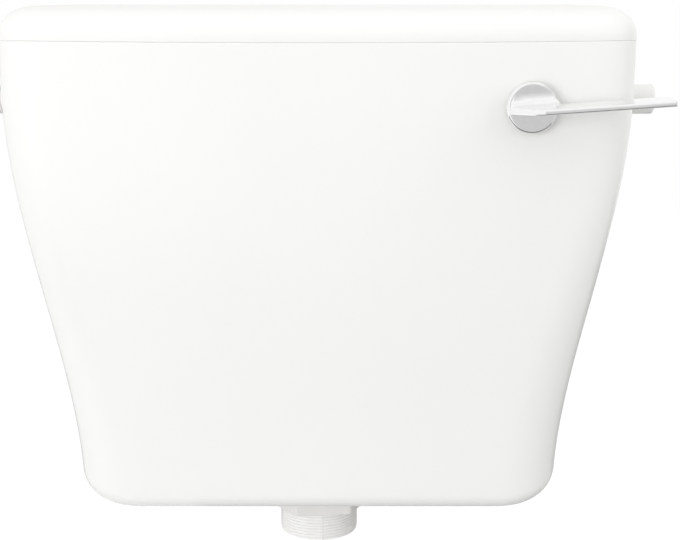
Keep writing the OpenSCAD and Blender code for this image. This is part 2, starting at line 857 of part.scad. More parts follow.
module union_seal() {
    color(rubber_black) at_outlet(union_z) ring(foot_d, tail_bore, union_seal_t);
}

collar_gap = 2;
// A ring nut with grip ribs that draws the siphon's foot down on its seal
module union_collar() {
    low = neck_z + collar_gap;
    rib_w = 4;
    rib_h = 1;
    color(moulded_white)
    at_outlet(low)
    difference() {
        union() {
            cylinder(d = collar_d, h = lip_z + collar_lip_t - low);
            for (i = [0:collar_ribs - 1])
                rotate(360 * i / collar_ribs) translate([collar_d / 2 - over, -rib_w / 2, 0])
                    cube([over + rib_h, rib_w, lip_z - low]);
        }
        translate([0, 0, -over]) cylinder(d = neck_d + 2 * thread_clear, h = lip_z - low + over);
        cylinder(d = leg_d + 2 * thread_clear, h = 2 * (lip_z - low));
    }
}

// The threaded tail that goes down through the floor, with its flange and union neck
module outlet_tail() {
    color(moulded_white)
    at_outlet(0) {
        translate([0, 0, tail_end_z])
            ring_thread(tail_d / 2, tail_pitch, tail_bore / 2, backnut_z - tail_end_z);
        translate([0, 0, backnut_z])
            ring_thread(tail_d / 2 - thread_relief, tail_pitch, tail_bore / 2, flange_z - backnut_z);
        translate([0, 0, flange_z]) ring(tail_flange_d, tail_bore, tail_flange_t);
        translate([0, 0, neck_z]) ring(neck_d, tail_bore, neck_h);
    }
}

module outlet_seal() {
    color(rubber_black) at_outlet(floor_z) ring(tail_flange_d, tail_d + 2 * thread_clear, seal_t);
}

module base_washer() {
    color(moulded_white)
    at_outlet(base_z - base_washer_t) ring(base_washer_d, tail_d + 2 * thread_clear, base_washer_t);
}

module outlet_backnut() {
    color(moulded_white)
    at_outlet(backnut_z)
        rotate(backnut_turn) hex_nut(backnut_af, tail_d + 2 * thread_clear, backnut_h);
}

// Stations of the fill valve along +X, from the inner face of the left wall
seal_x = -port_inner_x;
valve_flange_x = seal_x + inlet_seal_t;
barrel_x = valve_flange_x + inlet_flange_t;
housing_x = barrel_x + barrel_len;
flap_x = housing_x + housing_len;
flap_room = 0.4;
nipple_h = 2;
cap_grip = 9;
pocket_x = flap_x + valve_flap_t + flap_room;
cap_end_x = pocket_x + cap_t + nipple_h;
nipple_x = cap_end_x + nipple_h;
skirt_x = flap_x - cap_grip;
flap_d = housing_d - 3;
cap_bore = housing_d + 2 * thread_clear;
cap_d = cap_bore + 2 * cap_t;
inlet_end_x = -port_outer_x - inlet_len;
inlet_nut_x = -port_outer_x - inlet_nut_h;
spout_wall = 1.5;
socket_wall = 2;
socket_h = 6;
spout_bore = spout_d - 2 * spout_wall;
spout_boss_d = spout_d + 2 * socket_wall;
spout_x = housing_x - spout_boss_d / 2 - 2 * socket_wall;
spout_z = port_z - barrel_d / 2 - socket_h - 2 * socket_wall;

// Side-entry valve: threaded tail, flange, barrel, spout and diaphragm housing
module valve_body() {
    seat_bore = 0.75 * inlet_bore;
    color(moulded_white)
    difference() {
        union() {
            along_x(inlet_end_x) ring_thread(inlet_d / 2, inlet_pitch, core_r, inlet_nut_x - inlet_end_x);
            along_x(inlet_nut_x)
                ring_thread(inlet_d / 2 - thread_relief, inlet_pitch, core_r, valve_flange_x - inlet_nut_x);
            along_x(valve_flange_x) cylinder(d = inlet_flange_d, h = inlet_flange_t);
            along_x(barrel_x) cylinder(d = barrel_d, h = barrel_len);
            along_x(housing_x) cylinder(d = housing_d, h = housing_len);
            translate([spout_x, -port_back, spout_z]) cylinder(d = spout_boss_d, h = port_z - spout_z);
        }
        along_x(inlet_end_x - over) cylinder(d = inlet_bore, h = housing_x - inlet_end_x - barrel_len / 2);
        along_x(inlet_end_x - over) cylinder(d = seat_bore, h = flap_x - inlet_end_x + 2 * over);
        translate([spout_x, -port_back, spout_z - over]) cylinder(d = spout_bore, h = barrel_d / 2);
    }
}

module inlet_seal() {
    color(rubber_black)
    along_x(seal_x) ring(inlet_flange_d, inlet_d + 2 * thread_clear, inlet_seal_t);
}

module inlet_backnut() {
    color(moulded_white)
    along_x(inlet_nut_x) hex_nut(inlet_nut_af, inlet_d + 2 * thread_clear, inlet_nut_h);
}

// A slotted thimble in the mouth of the inlet
module inlet_filter() {
    wall = 1.2;
    slots = 6;
    out_d = inlet_bore - 2 * thread_clear;
    color(film_clear)
    along_x(inlet_end_x)
    difference() {
        cylinder(d = out_d, h = filter_len);
        translate([0, 0, -over]) cylinder(d = out_d - 2 * wall, h = filter_len - wall + over);
        for (i = [0:slots - 1])
            rotate(360 * i / slots) translate([0, -wall / 2, 3 * wall])
                cube([out_d, wall, filter_len - 6 * wall]);
    }
}

module valve_diaphragm() {
    color(rubber_red) along_x(flap_x) cylinder(d = flap_d, h = valve_flap_t);
}

// Float pivot: below the valve's axis, in front of its cap
pivot_x = nipple_x + pivot_reach;
pivot_z = port_z - pivot_drop;
hub_w = 12;
ear_t = 4;
ear_gap = hub_w / 2 + move_clear;
pin_end = 1;
pivot_wall = 3.5;
pivot_hub_d = pivot_d + 2 * pivot_wall;
pilot_t = 1.5;
pilot_d = 6;
pilot_bore = 2;

module valve_cap() {
    ear_h = pivot_hub_d;
    color(moulded_white)
    difference() {
        union() {
            along_x(skirt_x) cylinder(d = cap_d, h = cap_end_x - skirt_x);
            along_x(cap_end_x - over) cylinder(d = pilot_d, h = nipple_h + over);
            for (side = [ear_gap, -ear_gap - ear_t])
                translate([0, side - port_back, pivot_z]) {
                    translate([cap_end_x - over, 0, -ear_h / 2])
                        cube([pivot_x - cap_end_x + over, ear_t, ear_h]);
                    translate([pivot_x, ear_t, 0]) rotate([90, 0, 0]) cylinder(d = ear_h, h = ear_t);
                }
        }
        along_x(skirt_x - over) cylinder(d = cap_bore, h = flap_x - skirt_x + over);
        along_x(flap_x - over) cylinder(d = flap_d + 2 * move_clear, h = pocket_x - flap_x + over);
        along_x(pocket_x - over) cylinder(d = pilot_bore, h = nipple_x - pocket_x + 2 * over);
        translate([pivot_x, -port_back + 2 * hub_w, pivot_z]) rotate([90, 0, 0])
            cylinder(d = pivot_d + 2 * run_clear, h = 4 * hub_w);
    }
}

module discharge_tube() {
    socket_d = spout_boss_d + 2 * socket_wall;
    color(tube_grey)
    translate([spout_x, -port_back, spout_z - spout_len])
    difference() {
        union() {
            cylinder(d = spout_d, h = spout_len);
            translate([0, 0, spout_len - socket_wall]) cylinder(d = socket_d, h = socket_wall);
            translate([0, 0, spout_len - over])
                ring(socket_d, spout_boss_d + 2 * thread_clear, socket_h + over);
        }
        translate([0, 0, -over]) cylinder(d = spout_bore, h = spout_len + 2 * over);
    }
}

module pivot_pin() {
    pin_len = 2 * (ear_gap + ear_t + pin_end);
    color(brass)
    translate([pivot_x, pin_len / 2 - port_back, pivot_z]) rotate([90, 0, 0])
        cylinder(d = pivot_d, h = pin_len);
}

// The float arm's frame: x along the arm, hanging down by its throw at rest
module float_frame() {
    translate([pivot_x, -port_back, pivot_z]) rotate([0, float_throw, 0]) children();
}
stem_wall = 4;
stem_boss_d = stem_d + 2 * stem_wall;
stem_boss_h = 14;
stem_nut_h = 5;
stem_end = 4;
nose_x = move_clear + pilot_t - pivot_reach;

module float_arm() {
    nose_t = 5;
    color(moulded_white)
    float_frame()
    difference() {
        union() {
            translate([0, hub_w / 2, 0]) rotate([90, 0, 0]) cylinder(d = pivot_hub_d, h = hub_w);
            translate([0, -float_bar_w / 2, -float_bar_w / 2])
                cube([float_arm_len, float_bar_w, float_bar_w]);
            translate([-nose_t / 2, -float_bar_w / 2, 0])
                cube([nose_t, float_bar_w, pivot_drop + pilot_d / 2]);
            translate([nose_x, 0, pivot_drop]) rotate([0, 90, 0]) cylinder(d = pilot_d, h = -nose_x);
            translate([float_arm_len, 0, -stem_boss_h / 2]) cylinder(d = stem_boss_d, h = stem_boss_h);
        }
        translate([0, hub_w, 0]) rotate([90, 0, 0]) cylinder(d = pivot_d + 2 * run_clear, h = 2 * hub_w);
        translate([float_arm_len, 0, -stem_boss_h])
            cylinder(d = stem_d + 2 * run_clear, h = 2 * stem_boss_h);
    }
}

module pilot_seal() {
    color(rubber_black)
    float_frame() translate([nose_x - pilot_t, 0, pivot_drop]) rotate([0, 90, 0])
        cylinder(d = pilot_d, h = pilot_t);
}

module float_stem() {
    above = stem_boss_h / 2 + stem_nut_h + stem_end;
    below = float_drop + float_h / 2 + stem_nut_h + stem_end;
    color(moulded_white)
    float_frame() translate([float_arm_len, 0, -below]) cylinder(d = stem_d, h = above + below);
}

// Two round nuts that clamp the arm, and two that hold the float
module stem_nuts() {
    places = [
        stem_boss_h / 2, -stem_boss_h / 2 - stem_nut_h,
        -float_drop + float_h / 2, -float_drop - float_h / 2 - stem_nut_h
    ];
    color(moulded_white)
    float_frame()
        for (z = places)
            translate([float_arm_len, 0, z]) ring(stem_boss_d, stem_d + 2 * run_clear, stem_nut_h);
}

// A foam drum with rounded ends on the stem
module float() {
    edge = 6;
    r = float_d / 2;
    color(foam_white)
    float_frame() translate([float_arm_len, 0, -float_drop - float_h / 2])
        difference() {
            rotate_extrude()
                union() {
                    square([r - edge, float_h]);
                    translate([0, edge]) square([r, float_h - 2 * edge]);
                    for (z = [edge, float_h - edge])
                        translate([r - edge, z]) circle(r = edge);
                }
            translate([0, 0, -over]) cylinder(d = stem_d + 2 * run_clear, h = float_h + 2 * over);
        }
}

// Stations of the overflow along +X, from the inner face of the right wall
overflow_flange_x = port_inner_x - overflow_seal_t - overflow_flange_t;
overflow_thread_x = port_inner_x - overflow_seal_t;
spigot_x = port_outer_x + overflow_thread_len;

module overflow_connector() {
    color(moulded_white)
    difference() {
        union() {
            along_x(overflow_flange_x) cylinder(d = overflow_flange_d, h = overflow_flange_t);
            along_x(overflow_thread_x)
                ring_thread(overflow_d / 2, overflow_pitch, core_r, spigot_x - overflow_thread_x);
            along_x(spigot_x) cylinder(d = spigot_d, h = spigot_len);
        }
        along_x(overflow_flange_x - over)
            cylinder(d = overflow_bore, h = spigot_x + spigot_len - overflow_flange_x + 2 * over);
    }
}

module overflow_seal() {
    color(rubber_black)
    along_x(overflow_thread_x) ring(overflow_flange_d, overflow_d + 2 * thread_clear, overflow_seal_t);
}

module overflow_nut() {
    color(moulded_white)
    along_x(port_outer_x) hex_nut(overflow_nut_af, overflow_d + 2 * thread_clear, overflow_nut_h);
}

cistern_body();
lid();
lever_handle();
lever_spindle();
lever_bush();
bush_washer();
bush_nut();
spindle_clip();
lift_arm();
clamp_screw();
lift_link();
lift_rod();
rod_nut();
lift_plate();
siphon_diaphragm();
diaphragm_washer();
rod_guide();
siphon_body();
union_seal();
union_collar();
outlet_tail();
outlet_seal();
base_washer();
outlet_backnut();
valve_body();
inlet_seal();
inlet_backnut();
inlet_filter();
valve_diaphragm();
valve_cap();
discharge_tube();
pivot_pin();
float_arm();
pilot_seal();
float_stem();
stem_nuts();
float();
overflow_connector();
overflow_seal();
overflow_nut();
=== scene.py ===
# %% [markdown]
# # A white cistern with a chrome lever
# A low-level toilet cistern is a tapered plastic tank with a lift-off lid, a chrome lever and a threaded
# outlet underneath. Its CAD model gives every size, and this lesson gives it its looks. The tank, lid,
# lever, threads and nuts are made again here as smooth surfaces, because plastic mouldings have soft edges
# and real helical threads. The other CAD nodes keep their shape and get a finish.

import json
import math

import bmesh
import bpy
import numpy as np
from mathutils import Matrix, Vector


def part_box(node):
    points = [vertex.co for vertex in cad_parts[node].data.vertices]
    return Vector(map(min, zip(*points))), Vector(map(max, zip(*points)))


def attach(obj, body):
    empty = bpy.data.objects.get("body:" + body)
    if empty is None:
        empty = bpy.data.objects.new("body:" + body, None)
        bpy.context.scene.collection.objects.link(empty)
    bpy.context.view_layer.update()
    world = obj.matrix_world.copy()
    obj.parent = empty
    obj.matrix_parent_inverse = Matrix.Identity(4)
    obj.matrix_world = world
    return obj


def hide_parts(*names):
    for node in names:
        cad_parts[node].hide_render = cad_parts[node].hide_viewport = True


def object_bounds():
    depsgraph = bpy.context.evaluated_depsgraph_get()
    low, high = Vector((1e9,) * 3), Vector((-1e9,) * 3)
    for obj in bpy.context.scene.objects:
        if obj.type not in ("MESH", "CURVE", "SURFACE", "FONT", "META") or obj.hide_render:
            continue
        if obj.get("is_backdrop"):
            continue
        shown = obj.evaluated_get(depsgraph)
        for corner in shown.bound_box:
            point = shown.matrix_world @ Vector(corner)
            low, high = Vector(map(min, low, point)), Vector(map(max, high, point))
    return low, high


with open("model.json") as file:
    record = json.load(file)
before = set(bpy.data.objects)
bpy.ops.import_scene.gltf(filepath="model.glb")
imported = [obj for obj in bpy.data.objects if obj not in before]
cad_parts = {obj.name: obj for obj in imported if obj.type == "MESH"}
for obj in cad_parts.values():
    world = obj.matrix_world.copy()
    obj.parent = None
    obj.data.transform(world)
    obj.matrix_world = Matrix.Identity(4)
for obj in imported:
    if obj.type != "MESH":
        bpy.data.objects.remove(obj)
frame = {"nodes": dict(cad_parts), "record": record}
cad_low, cad_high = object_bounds()
scene = bpy.context.scene
MM = 0.001
print(len(frame["nodes"]), "CAD nodes in a box of", [round(v / MM) for v in cad_high - cad_low], "mm")

# %% [markdown]
# The photograph looks straight along +Y from a little above, with a short telephoto lens. The camera could
# be placed by eye, but its height, tilt and lens come from fitting the rim, the base and the outlet together,
# so that the render and the photograph can be laid over each other. The small shift sideways is the
# photograph's own framing, in which the tank stands left of the middle.

# %% Camera
SENSOR, LENS, SHIFT = 36, 60.25, 0.01775
CAMERA_X, CAMERA_Y, CAMERA_Z = 7 * MM, -932.5 * MM, 27.35 * MM
LOOK_DOWN = 11.2
camera_data = bpy.data.cameras.new("camera")
camera_data.sensor_width = SENSOR
camera_data.lens = LENS
camera_data.shift_x = SHIFT
camera = bpy.data.objects.new("camera", camera_data)
camera.location = (CAMERA_X, CAMERA_Y, CAMERA_Z)
camera.rotation_euler = (math.radians(90 - LOOK_DOWN), 0, 0)
scene.collection.objects.link(camera)
scene.camera = camera
scene.view_settings.view_transform = "Standard"
print("camera at", tuple(round(v, 4) for v in camera.location))

# %% [markdown]
# A shader tree is easier to read when each step is one short call. These helpers add a node, a noise on
# Object coordinates, a sum, a colour ramp, a mix and a bump. Object coordinates are in metres here, so a
# scale of 100 means a grain of about a hundredth of a metre.


# %% Helpers for finishes
def add(tree, kind, **settings):
    """Adds one node. A setting goes to the input of that name, or else to the node's own property."""
    node = tree.nodes.new(kind)
    for key, value in settings.items():
        socket = node.inputs.get(key.replace("_", " "))
        if socket is None:
            setattr(node, key, value)
        else:
            socket.default_value = value
    return node


def place(tree, stretch=(1, 1, 1)):
    """Object coordinates, drawn out or pressed together along each axis."""
    coordinates = add(tree, "ShaderNodeTexCoord")
    mapping = add(tree, "ShaderNodeMapping", Scale=stretch)
    tree.links.new(coordinates.outputs["Object"], mapping.inputs["Vector"])
    return mapping.outputs["Vector"]


def noise(tree, scale, detail=2, stretch=(1, 1, 1)):
    """Cloudy noise with so many grains to the metre."""
    texture = add(tree, "ShaderNodeTexNoise", Scale=scale, Detail=detail)
    tree.links.new(place(tree, stretch), texture.inputs["Vector"])
    return texture.outputs["Fac"]


def between(tree, factor, low, high, start=0.3, end=0.7):
    """A value that goes from low to high while the factor goes from start to end."""
    node = add(tree, "ShaderNodeMapRange", From_Min=start, From_Max=end, To_Min=low, To_Max=high)
    tree.links.new(factor, node.inputs["Value"])
    return node.outputs["Result"]


def combine(tree, operation, first, second):
    """One sum on two inputs, each of them a number or the output of another node."""
    node = add(tree, "ShaderNodeMath", operation=operation)
    for socket, value in zip(node.inputs, (first, second)):
        if isinstance(value, float):
            socket.default_value = value
        else:
            tree.links.new(value, socket)
    return node.outputs[0]


def tint(tree, factor, low, high, start=0.3, end=0.7):
    """A colour that goes from low to high while the factor goes from start to end."""
    node = add(tree, "ShaderNodeValToRGB")
    for element, position, colour in zip(node.color_ramp.elements, (start, end), (low, high)):
        element.position = position
        element.color = (*colour, 1)
    tree.links.new(factor, node.inputs["Fac"])
    return node.outputs["Color"]


def mix(tree, factor, under, over, blend_type="MIX"):
    """A plain colour laid over another node's colour, as strongly as the factor says."""
    node = add(tree, "ShaderNodeMix", data_type="RGBA", blend_type=blend_type)
    tree.links.new(factor, node.inputs["Factor"])
    tree.links.new(under, node.inputs["A"])
    node.inputs["B"].default_value = (*over, 1)
    return node.outputs["Result"]


def bump(tree, height, depth, strength):
    """Surface normals of a relief so many metres deep."""
    node = add(tree, "ShaderNodeBump", Strength=strength, Distance=depth)
    tree.links.new(height, node.inputs["Height"])
    return node.outputs["Normal"]


def new_finish(name, **sockets):
    """A material, its tree and its shader, with the values that are the same all over set on the shader."""
    material = bpy.data.materials.new(name)
    material.use_nodes = True
    shader = material.node_tree.nodes["Principled BSDF"]
    for key, value in sockets.items():
        shader.inputs[key.replace("_", " ")].default_value = value
    return material, material.node_tree, shader


FINISHES = {}
print("helpers for finishes are ready")

# %% [markdown]
# The tank and lid are one white moulding plastic, glossy and very slightly warm. A plain white would look
# like paper, so broad clouds shift the white a little, a fine orange-peel relief softens the reflections,
# and a speck of dust in the plastic shows here and there.

# %% Glossy white of the tank and lid
SPECK_SIZE, SPECK_CHOICE = 0.035, 0.9
material, tree, shader = new_finish("tank white", IOR=1.5, Coat_Weight=0.15, Coat_Roughness=0.12)
clouds = tint(tree, noise(tree, 6, 1), (0.872, 0.87, 0.858), (0.892, 0.891, 0.88), 0.2, 0.8)
cells = add(tree, "ShaderNodeTexVoronoi", Scale=85)
tree.links.new(place(tree), cells.inputs["Vector"])
is_speck = combine(tree, "LESS_THAN", cells.outputs["Distance"], SPECK_SIZE)
is_chosen = combine(tree, "GREATER_THAN", cells.outputs["Color"], SPECK_CHOICE)
specks = combine(tree, "MULTIPLY", is_speck, is_chosen)
tree.links.new(mix(tree, specks, clouds, (0.80, 0.79, 0.77)), shader.inputs["Base Color"])
tree.links.new(between(tree, noise(tree, 30, 1), 0.29, 0.34, 0.2, 0.8), shader.inputs["Roughness"])
tree.links.new(bump(tree, noise(tree, 500, 1), 0.03 * MM, 0.2), shader.inputs["Normal"])
FINISHES["tank_white"] = material
print("made", material.name)

# %% [markdown]
# The inner mouldings, nuts and threads are satin white. Melt flows into a mould in streaks, so one noise is
# drawn out into long faint lines, and a finer one roughens the skin. With one colour a thread's grooves would
# hardly show, so they get painted shade: an attribute of the mesh says how much painted shade each point
# takes, and the colour is darker there.


# %% Satin plastics
def moulded(name, dark, light, roughness, grain, depth):
    """A moulded plastic: faint flow streaks and painted shade in its colour, and a grain in its roughness and
    relief.
    """
    material, tree, shader = new_finish(name, IOR=1.49)
    streaks = noise(tree, 60, 3, stretch=(1, 1, 0.25))
    groove = add(tree, "ShaderNodeAttribute", attribute_name="groove")
    plastic = tint(tree, streaks, dark, light)
    # Painted shade: the colour is multiplied darker where the groove attribute is high.
    shaded = mix(tree, groove.outputs["Fac"], plastic, (0.86, 0.855, 0.84), "MULTIPLY")
    tree.links.new(shaded, shader.inputs["Base Color"])
    skin = noise(tree, grain, 2)
    tree.links.new(between(tree, skin, roughness - 0.06, roughness + 0.06), shader.inputs["Roughness"])
    tree.links.new(bump(tree, skin, depth, 0.15), shader.inputs["Normal"])
    print("made", name)
    return material


FINISHES["moulded_white"] = moulded(
    "moulded white", (0.885, 0.88, 0.868), (0.925, 0.921, 0.91), 0.42, 900, 0.02 * MM
)
FINISHES["tube_grey"] = moulded("tube grey", (0.50, 0.52, 0.54), (0.60, 0.62, 0.64), 0.5, 600, 0.05 * MM)

# %% [markdown]
# Chrome, steel and brass are metals with a colour of their own. Their fine lines come from polishing,
# drawing and turning, so the noise is drawn out or pressed together along one axis. A picture of scratches
# could do the same, but noise needs no file and never repeats.


# %% Metals
def metal(name, dark, light, roughness, scale, stretch, depth):
    """A worked metal: lines in its roughness and relief, and a faint change of tone along them."""
    material, tree, shader = new_finish(name, Metallic=1.0)
    lines = noise(tree, scale, 4, stretch)
    tree.links.new(tint(tree, lines, dark, light), shader.inputs["Base Color"])
    tree.links.new(between(tree, lines, *roughness), shader.inputs["Roughness"])
    tree.links.new(bump(tree, lines, depth, 0.3), shader.inputs["Normal"])
    print("made", name)
    return material


FINISHES["chrome"] = metal(
    "polished chrome", (0.90, 0.90, 0.90), (0.95, 0.95, 0.948), (0.1, 0.17), 240, (1, 1, 6), 0.006 * MM
)
FINISHES["steel"] = metal(
    "drawn steel", (0.52, 0.53, 0.55), (0.66, 0.67, 0.69), (0.3, 0.4), 700, (6, 6, 0.4), 0.02 * MM
)
FINISHES["brass"] = metal(
    "turned brass", (0.60, 0.44, 0.20), (0.76, 0.60, 0.32), (0.29, 0.38), 500, (1, 1, 5), 0.02 * MM
)

# %% [markdown]
# Rubber is dark and dull with a powdery bloom. A smooth black would look like lacquer, so the bloom comes in
# patches and a fine grain roughens the skin.


# %% Rubber
def rubber(name, dark, light):
    """A moulded rubber: a pale bloom in patches over a fine grain."""
    material, tree, shader = new_finish(name, IOR=1.45)
    tree.links.new(tint(tree, noise(tree, 120, 4), dark, light), shader.inputs["Base Color"])
    grain = noise(tree, 1500, 2)
    tree.links.new(between(tree, grain, 0.6, 0.8), shader.inputs["Roughness"])
    tree.links.new(bump(tree, grain, 0.05 * MM, 0.5), shader.inputs["Normal"])
    print("made", name)
    return material


FINISHES["rubber_black"] = rubber("black rubber", (0.025, 0.025, 0.027), (0.06, 0.06, 0.062))
FINISHES["rubber_red"] = rubber("red rubber", (0.36, 0.085, 0.06), (0.48, 0.14, 0.1))

# %% [markdown]
# The siphon's flap is a thin clear film with soft waves. The float is bead foam: round cells pressed against
# each other, which is what a Voronoi pattern draws. Each bead stands out in its middle and sinks at its rim,
# and its colour darkens towards the rim as painted shade in the creases between beads.

# %% Film and foam
material, tree, shader = new_finish("clear film", IOR=1.45, Transmission_Weight=0.55)
waves = noise(tree, 90, 2)
tree.links.new(tint(tree, waves, (0.74, 0.79, 0.82), (0.84, 0.88, 0.9)), shader.inputs["Base Color"])
tree.links.new(between(tree, waves, 0.12, 0.24), shader.inputs["Roughness"])
tree.links.new(bump(tree, waves, 0.1 * MM, 0.3), shader.inputs["Normal"])
FINISHES["film_clear"] = material
print("made", material.name)

material, tree, shader = new_finish("bead foam", Roughness=0.75)
beads = add(tree, "ShaderNodeTexVoronoi", Scale=260)
tree.links.new(place(tree), beads.inputs["Vector"])
bead = beads.outputs["Distance"]
# Painted shade: each bead's colour darkens towards its rim.
foam = tint(tree, bead, (0.88, 0.88, 0.865), (0.74, 0.74, 0.72), 0.2, 0.8)
tree.links.new(foam, shader.inputs["Base Color"])
tree.links.new(bump(tree, between(tree, bead, 1.0, 0.0, 0.0, 0.8), 0.5 * MM, 0.5), shader.inputs["Normal"])
FINISHES["foam_white"] = material
print("made", material.name)

# %% [markdown]
# The studio is a white room. Its background is white because the world shows its full strength only to the
# camera and to mirror and clear surfaces. Diffuse surfaces see a dimmer world, so the lamps still model the
# form.


# %% World
def seen_directly(tree):
    """1 where a camera, mirror or clear ray looks at the surface, and 0 where a diffuse ray does."""
    rays = add(tree, "ShaderNodeLightPath")
    mirror = combine(tree, "MAXIMUM", rays.outputs["Is Camera Ray"], rays.outputs["Is Glossy Ray"])
    return combine(tree, "MAXIMUM", mirror, rays.outputs["Is Transmission Ray"])


AMBIENT = 0.65
world = bpy.data.worlds.new("studio")
scene.world = world
world.use_nodes = True
tree = world.node_tree
background = tree.nodes["Background"]
background.inputs["Color"].default_value = (1, 1, 1, 1)
tree.links.new(between(tree, seen_directly(tree), AMBIENT, 1.0, 0.0, 1.0), background.inputs["Strength"])
print("world of strength", AMBIENT)

# %% [markdown]
# A floor far below the tank takes its shadow. It could be plain white, but its edge would then show as a
# line, so it glows for the camera and runs into the background.

# %% Floor
FLOOR_DROP, FLOOR_HALF = 0.36, 4.0
FLOOR_TONE, FLOOR_GLOW, GLOW_SHARE = 0.55, 1.19, 0.8
floor_z = cad_low.z - FLOOR_DROP
corners = np.array([[-1, -1, 0], [1, -1, 0], [1, 1, 0], [-1, 1, 0]]) * FLOOR_HALF + [0, 0, floor_z]
floor_mesh = bpy.data.meshes.new("floor")
floor_mesh.from_pydata(corners.tolist(), [], [[0, 1, 2, 3]])
floor = bpy.data.objects.new("floor", floor_mesh)
scene.collection.objects.link(floor)
floor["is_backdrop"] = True
material, tree, shader = new_finish("pale floor", Roughness=0.9)
shader.inputs["Base Color"].default_value = (FLOOR_TONE, FLOOR_TONE, FLOOR_TONE, 1)
glow = add(tree, "ShaderNodeEmission", Strength=FLOOR_GLOW)
blend = add(tree, "ShaderNodeMixShader")
tree.links.new(between(tree, seen_directly(tree), 0.0, GLOW_SHARE, 0.0, 1.0), blend.inputs["Fac"])
tree.links.new(shader.outputs["BSDF"], blend.inputs[1])
tree.links.new(glow.outputs["Emission"], blend.inputs[2])
tree.links.new(blend.outputs["Shader"], tree.nodes["Material Output"].inputs["Surface"])
floor_mesh.materials.append(material)
print("floor at", round(floor_z, 3))

# %% [markdown]
# One soft lamp stands in front at the left, level with the rim, a weaker one at the right and a weak one
# overhead. The first is about three times as wide as the tank, which keeps the lever's shadow soft. No mirror
# shows the lamps: the chrome shows the room and the cards that come next.


# %% Lamps
def softbox(name, location, size, power):
    """A square lamp that faces the tank's middle, and that neither the camera nor a mirror sees."""
    data = bpy.data.lights.new(name, "AREA")
    data.size = size
    data.energy = power
    lamp = bpy.data.objects.new(name, data)
    lamp.location = location
    away = np.array(MIDDLE) - np.array(location)
    tilt = math.acos(-away[2] / np.linalg.norm(away))
    lamp.rotation_euler = (tilt, 0, math.atan2(away[1], away[0]) - math.pi / 2)
    lamp.visible_camera = lamp.visible_glossy = False
    scene.collection.objects.link(lamp)
    print(name, "of", power, "watts")


MIDDLE = (0, -90 * MM, -140 * MM)
softbox("key lamp", (-1.27, -1.9, 0.05), size=1.3, power=22.5)
softbox("fill lamp", (1.8, -0.7, 0.85), size=1.6, power=14)
softbox("top lamp", (-0.2, -0.5, 1.9), size=1.6, power=6)

# %% [markdown]
# Polished metal shows what stands round it. A photographer holds grey cards near the lens so that a flat
# chrome face doesn't vanish against a white room. The upright card here is graded: grey at its foot and white
# at its top, which gives a rounded metal edge its soft shading. A darker one lies below for the undersides, a
# third under the tank's base, and one stands at the right. Two dark flags stand behind the tank. Its edges
# are seen at a flat angle and mirror them, so that they show as a fine line on white. Only mirror rays see
# the cards.


# %% Grey cards
def card(name, low_tone, high_tone, corners):
    """A sheet that only mirror rays see. Its tone goes from low to high while z goes from 0 to HIGH."""
    mesh = bpy.data.meshes.new(name)
    mesh.from_pydata(corners, [], [[0, 1, 2, 3]])
    sheet = bpy.data.objects.new(name, mesh)
    scene.collection.objects.link(sheet)
    sheet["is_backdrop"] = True
    sheet.visible_camera = sheet.visible_diffuse = sheet.visible_shadow = sheet.visible_transmission = False
    material, tree, _ = new_finish(name)
    height = add(tree, "ShaderNodeSeparateXYZ")
    tree.links.new(place(tree), height.inputs["Vector"])
    glow = add(tree, "ShaderNodeEmission")
    tone = between(tree, height.outputs["Z"], low_tone, high_tone, 0.0, HIGH)
    tree.links.new(tone, glow.inputs["Strength"])
    tree.links.new(glow.outputs["Emission"], tree.nodes["Material Output"].inputs["Surface"])
    mesh.materials.append(material)
    print(name, "of tone", low_tone, "to", high_tone)


def level(x_low, x_high, y_low, y_high):
    """Corners of a card that lies flat, lower than the tank."""
    return [(x_low, y_low, LOW), (x_high, y_low, LOW), (x_high, y_high, LOW), (x_low, y_high, LOW)]


def upright(x_low, x_high, y, z_low, z_high):
    """Corners of a card that stands square to the camera."""
    return [(x_low, y, z_low), (x_high, y, z_low), (x_high, y, z_high), (x_low, y, z_high)]


END, FAR, NEAR, LOW, HIGH = 0.75, -1.1, -0.35, -0.42, 0.4
GREY_LEFT, BASE_LEFT, BASE_BACK = 0.16, -0.1, 0.1
FLAG_Y, FLAG_FOOT = 0.5, -0.9
LEFT_FLAG, LEFT_TOP = (-0.6, -0.2), 0
RIGHT_FLAG, RIGHT_TOP = (0.3, 1.5), -0.3
card("grey card", 0.62, 1.0, upright(GREY_LEFT, END, FAR, LOW, HIGH))
card("dark card", 0.22, 0.22, level(-END, END, FAR, NEAR))
card("base card", 0.5, 0.5, level(BASE_LEFT, END, NEAR, BASE_BACK))
card("left flag", 0.05, 0.05, upright(*LEFT_FLAG, FLAG_Y, FLAG_FOOT, LEFT_TOP))
card("right flag", 0.15, 0.15, upright(*RIGHT_FLAG, FLAG_Y, FLAG_FOOT, RIGHT_TOP))
card("side card", 0.7, 0.7, [(END, FAR, LOW), (END, 0, LOW), (END, 0, 2 * HIGH), (END, FAR, 2 * HIGH)])

# %% [markdown]
# Every new piece is a surface: a grid of points, where one direction runs along a profile and the other
# round or along a path. `weave` turns a grid into faces, and `piece` joins several such surfaces into one
# object, closes their seams and poles, turns their faces outwards and lets the object ride on a body of the
# CAD model.


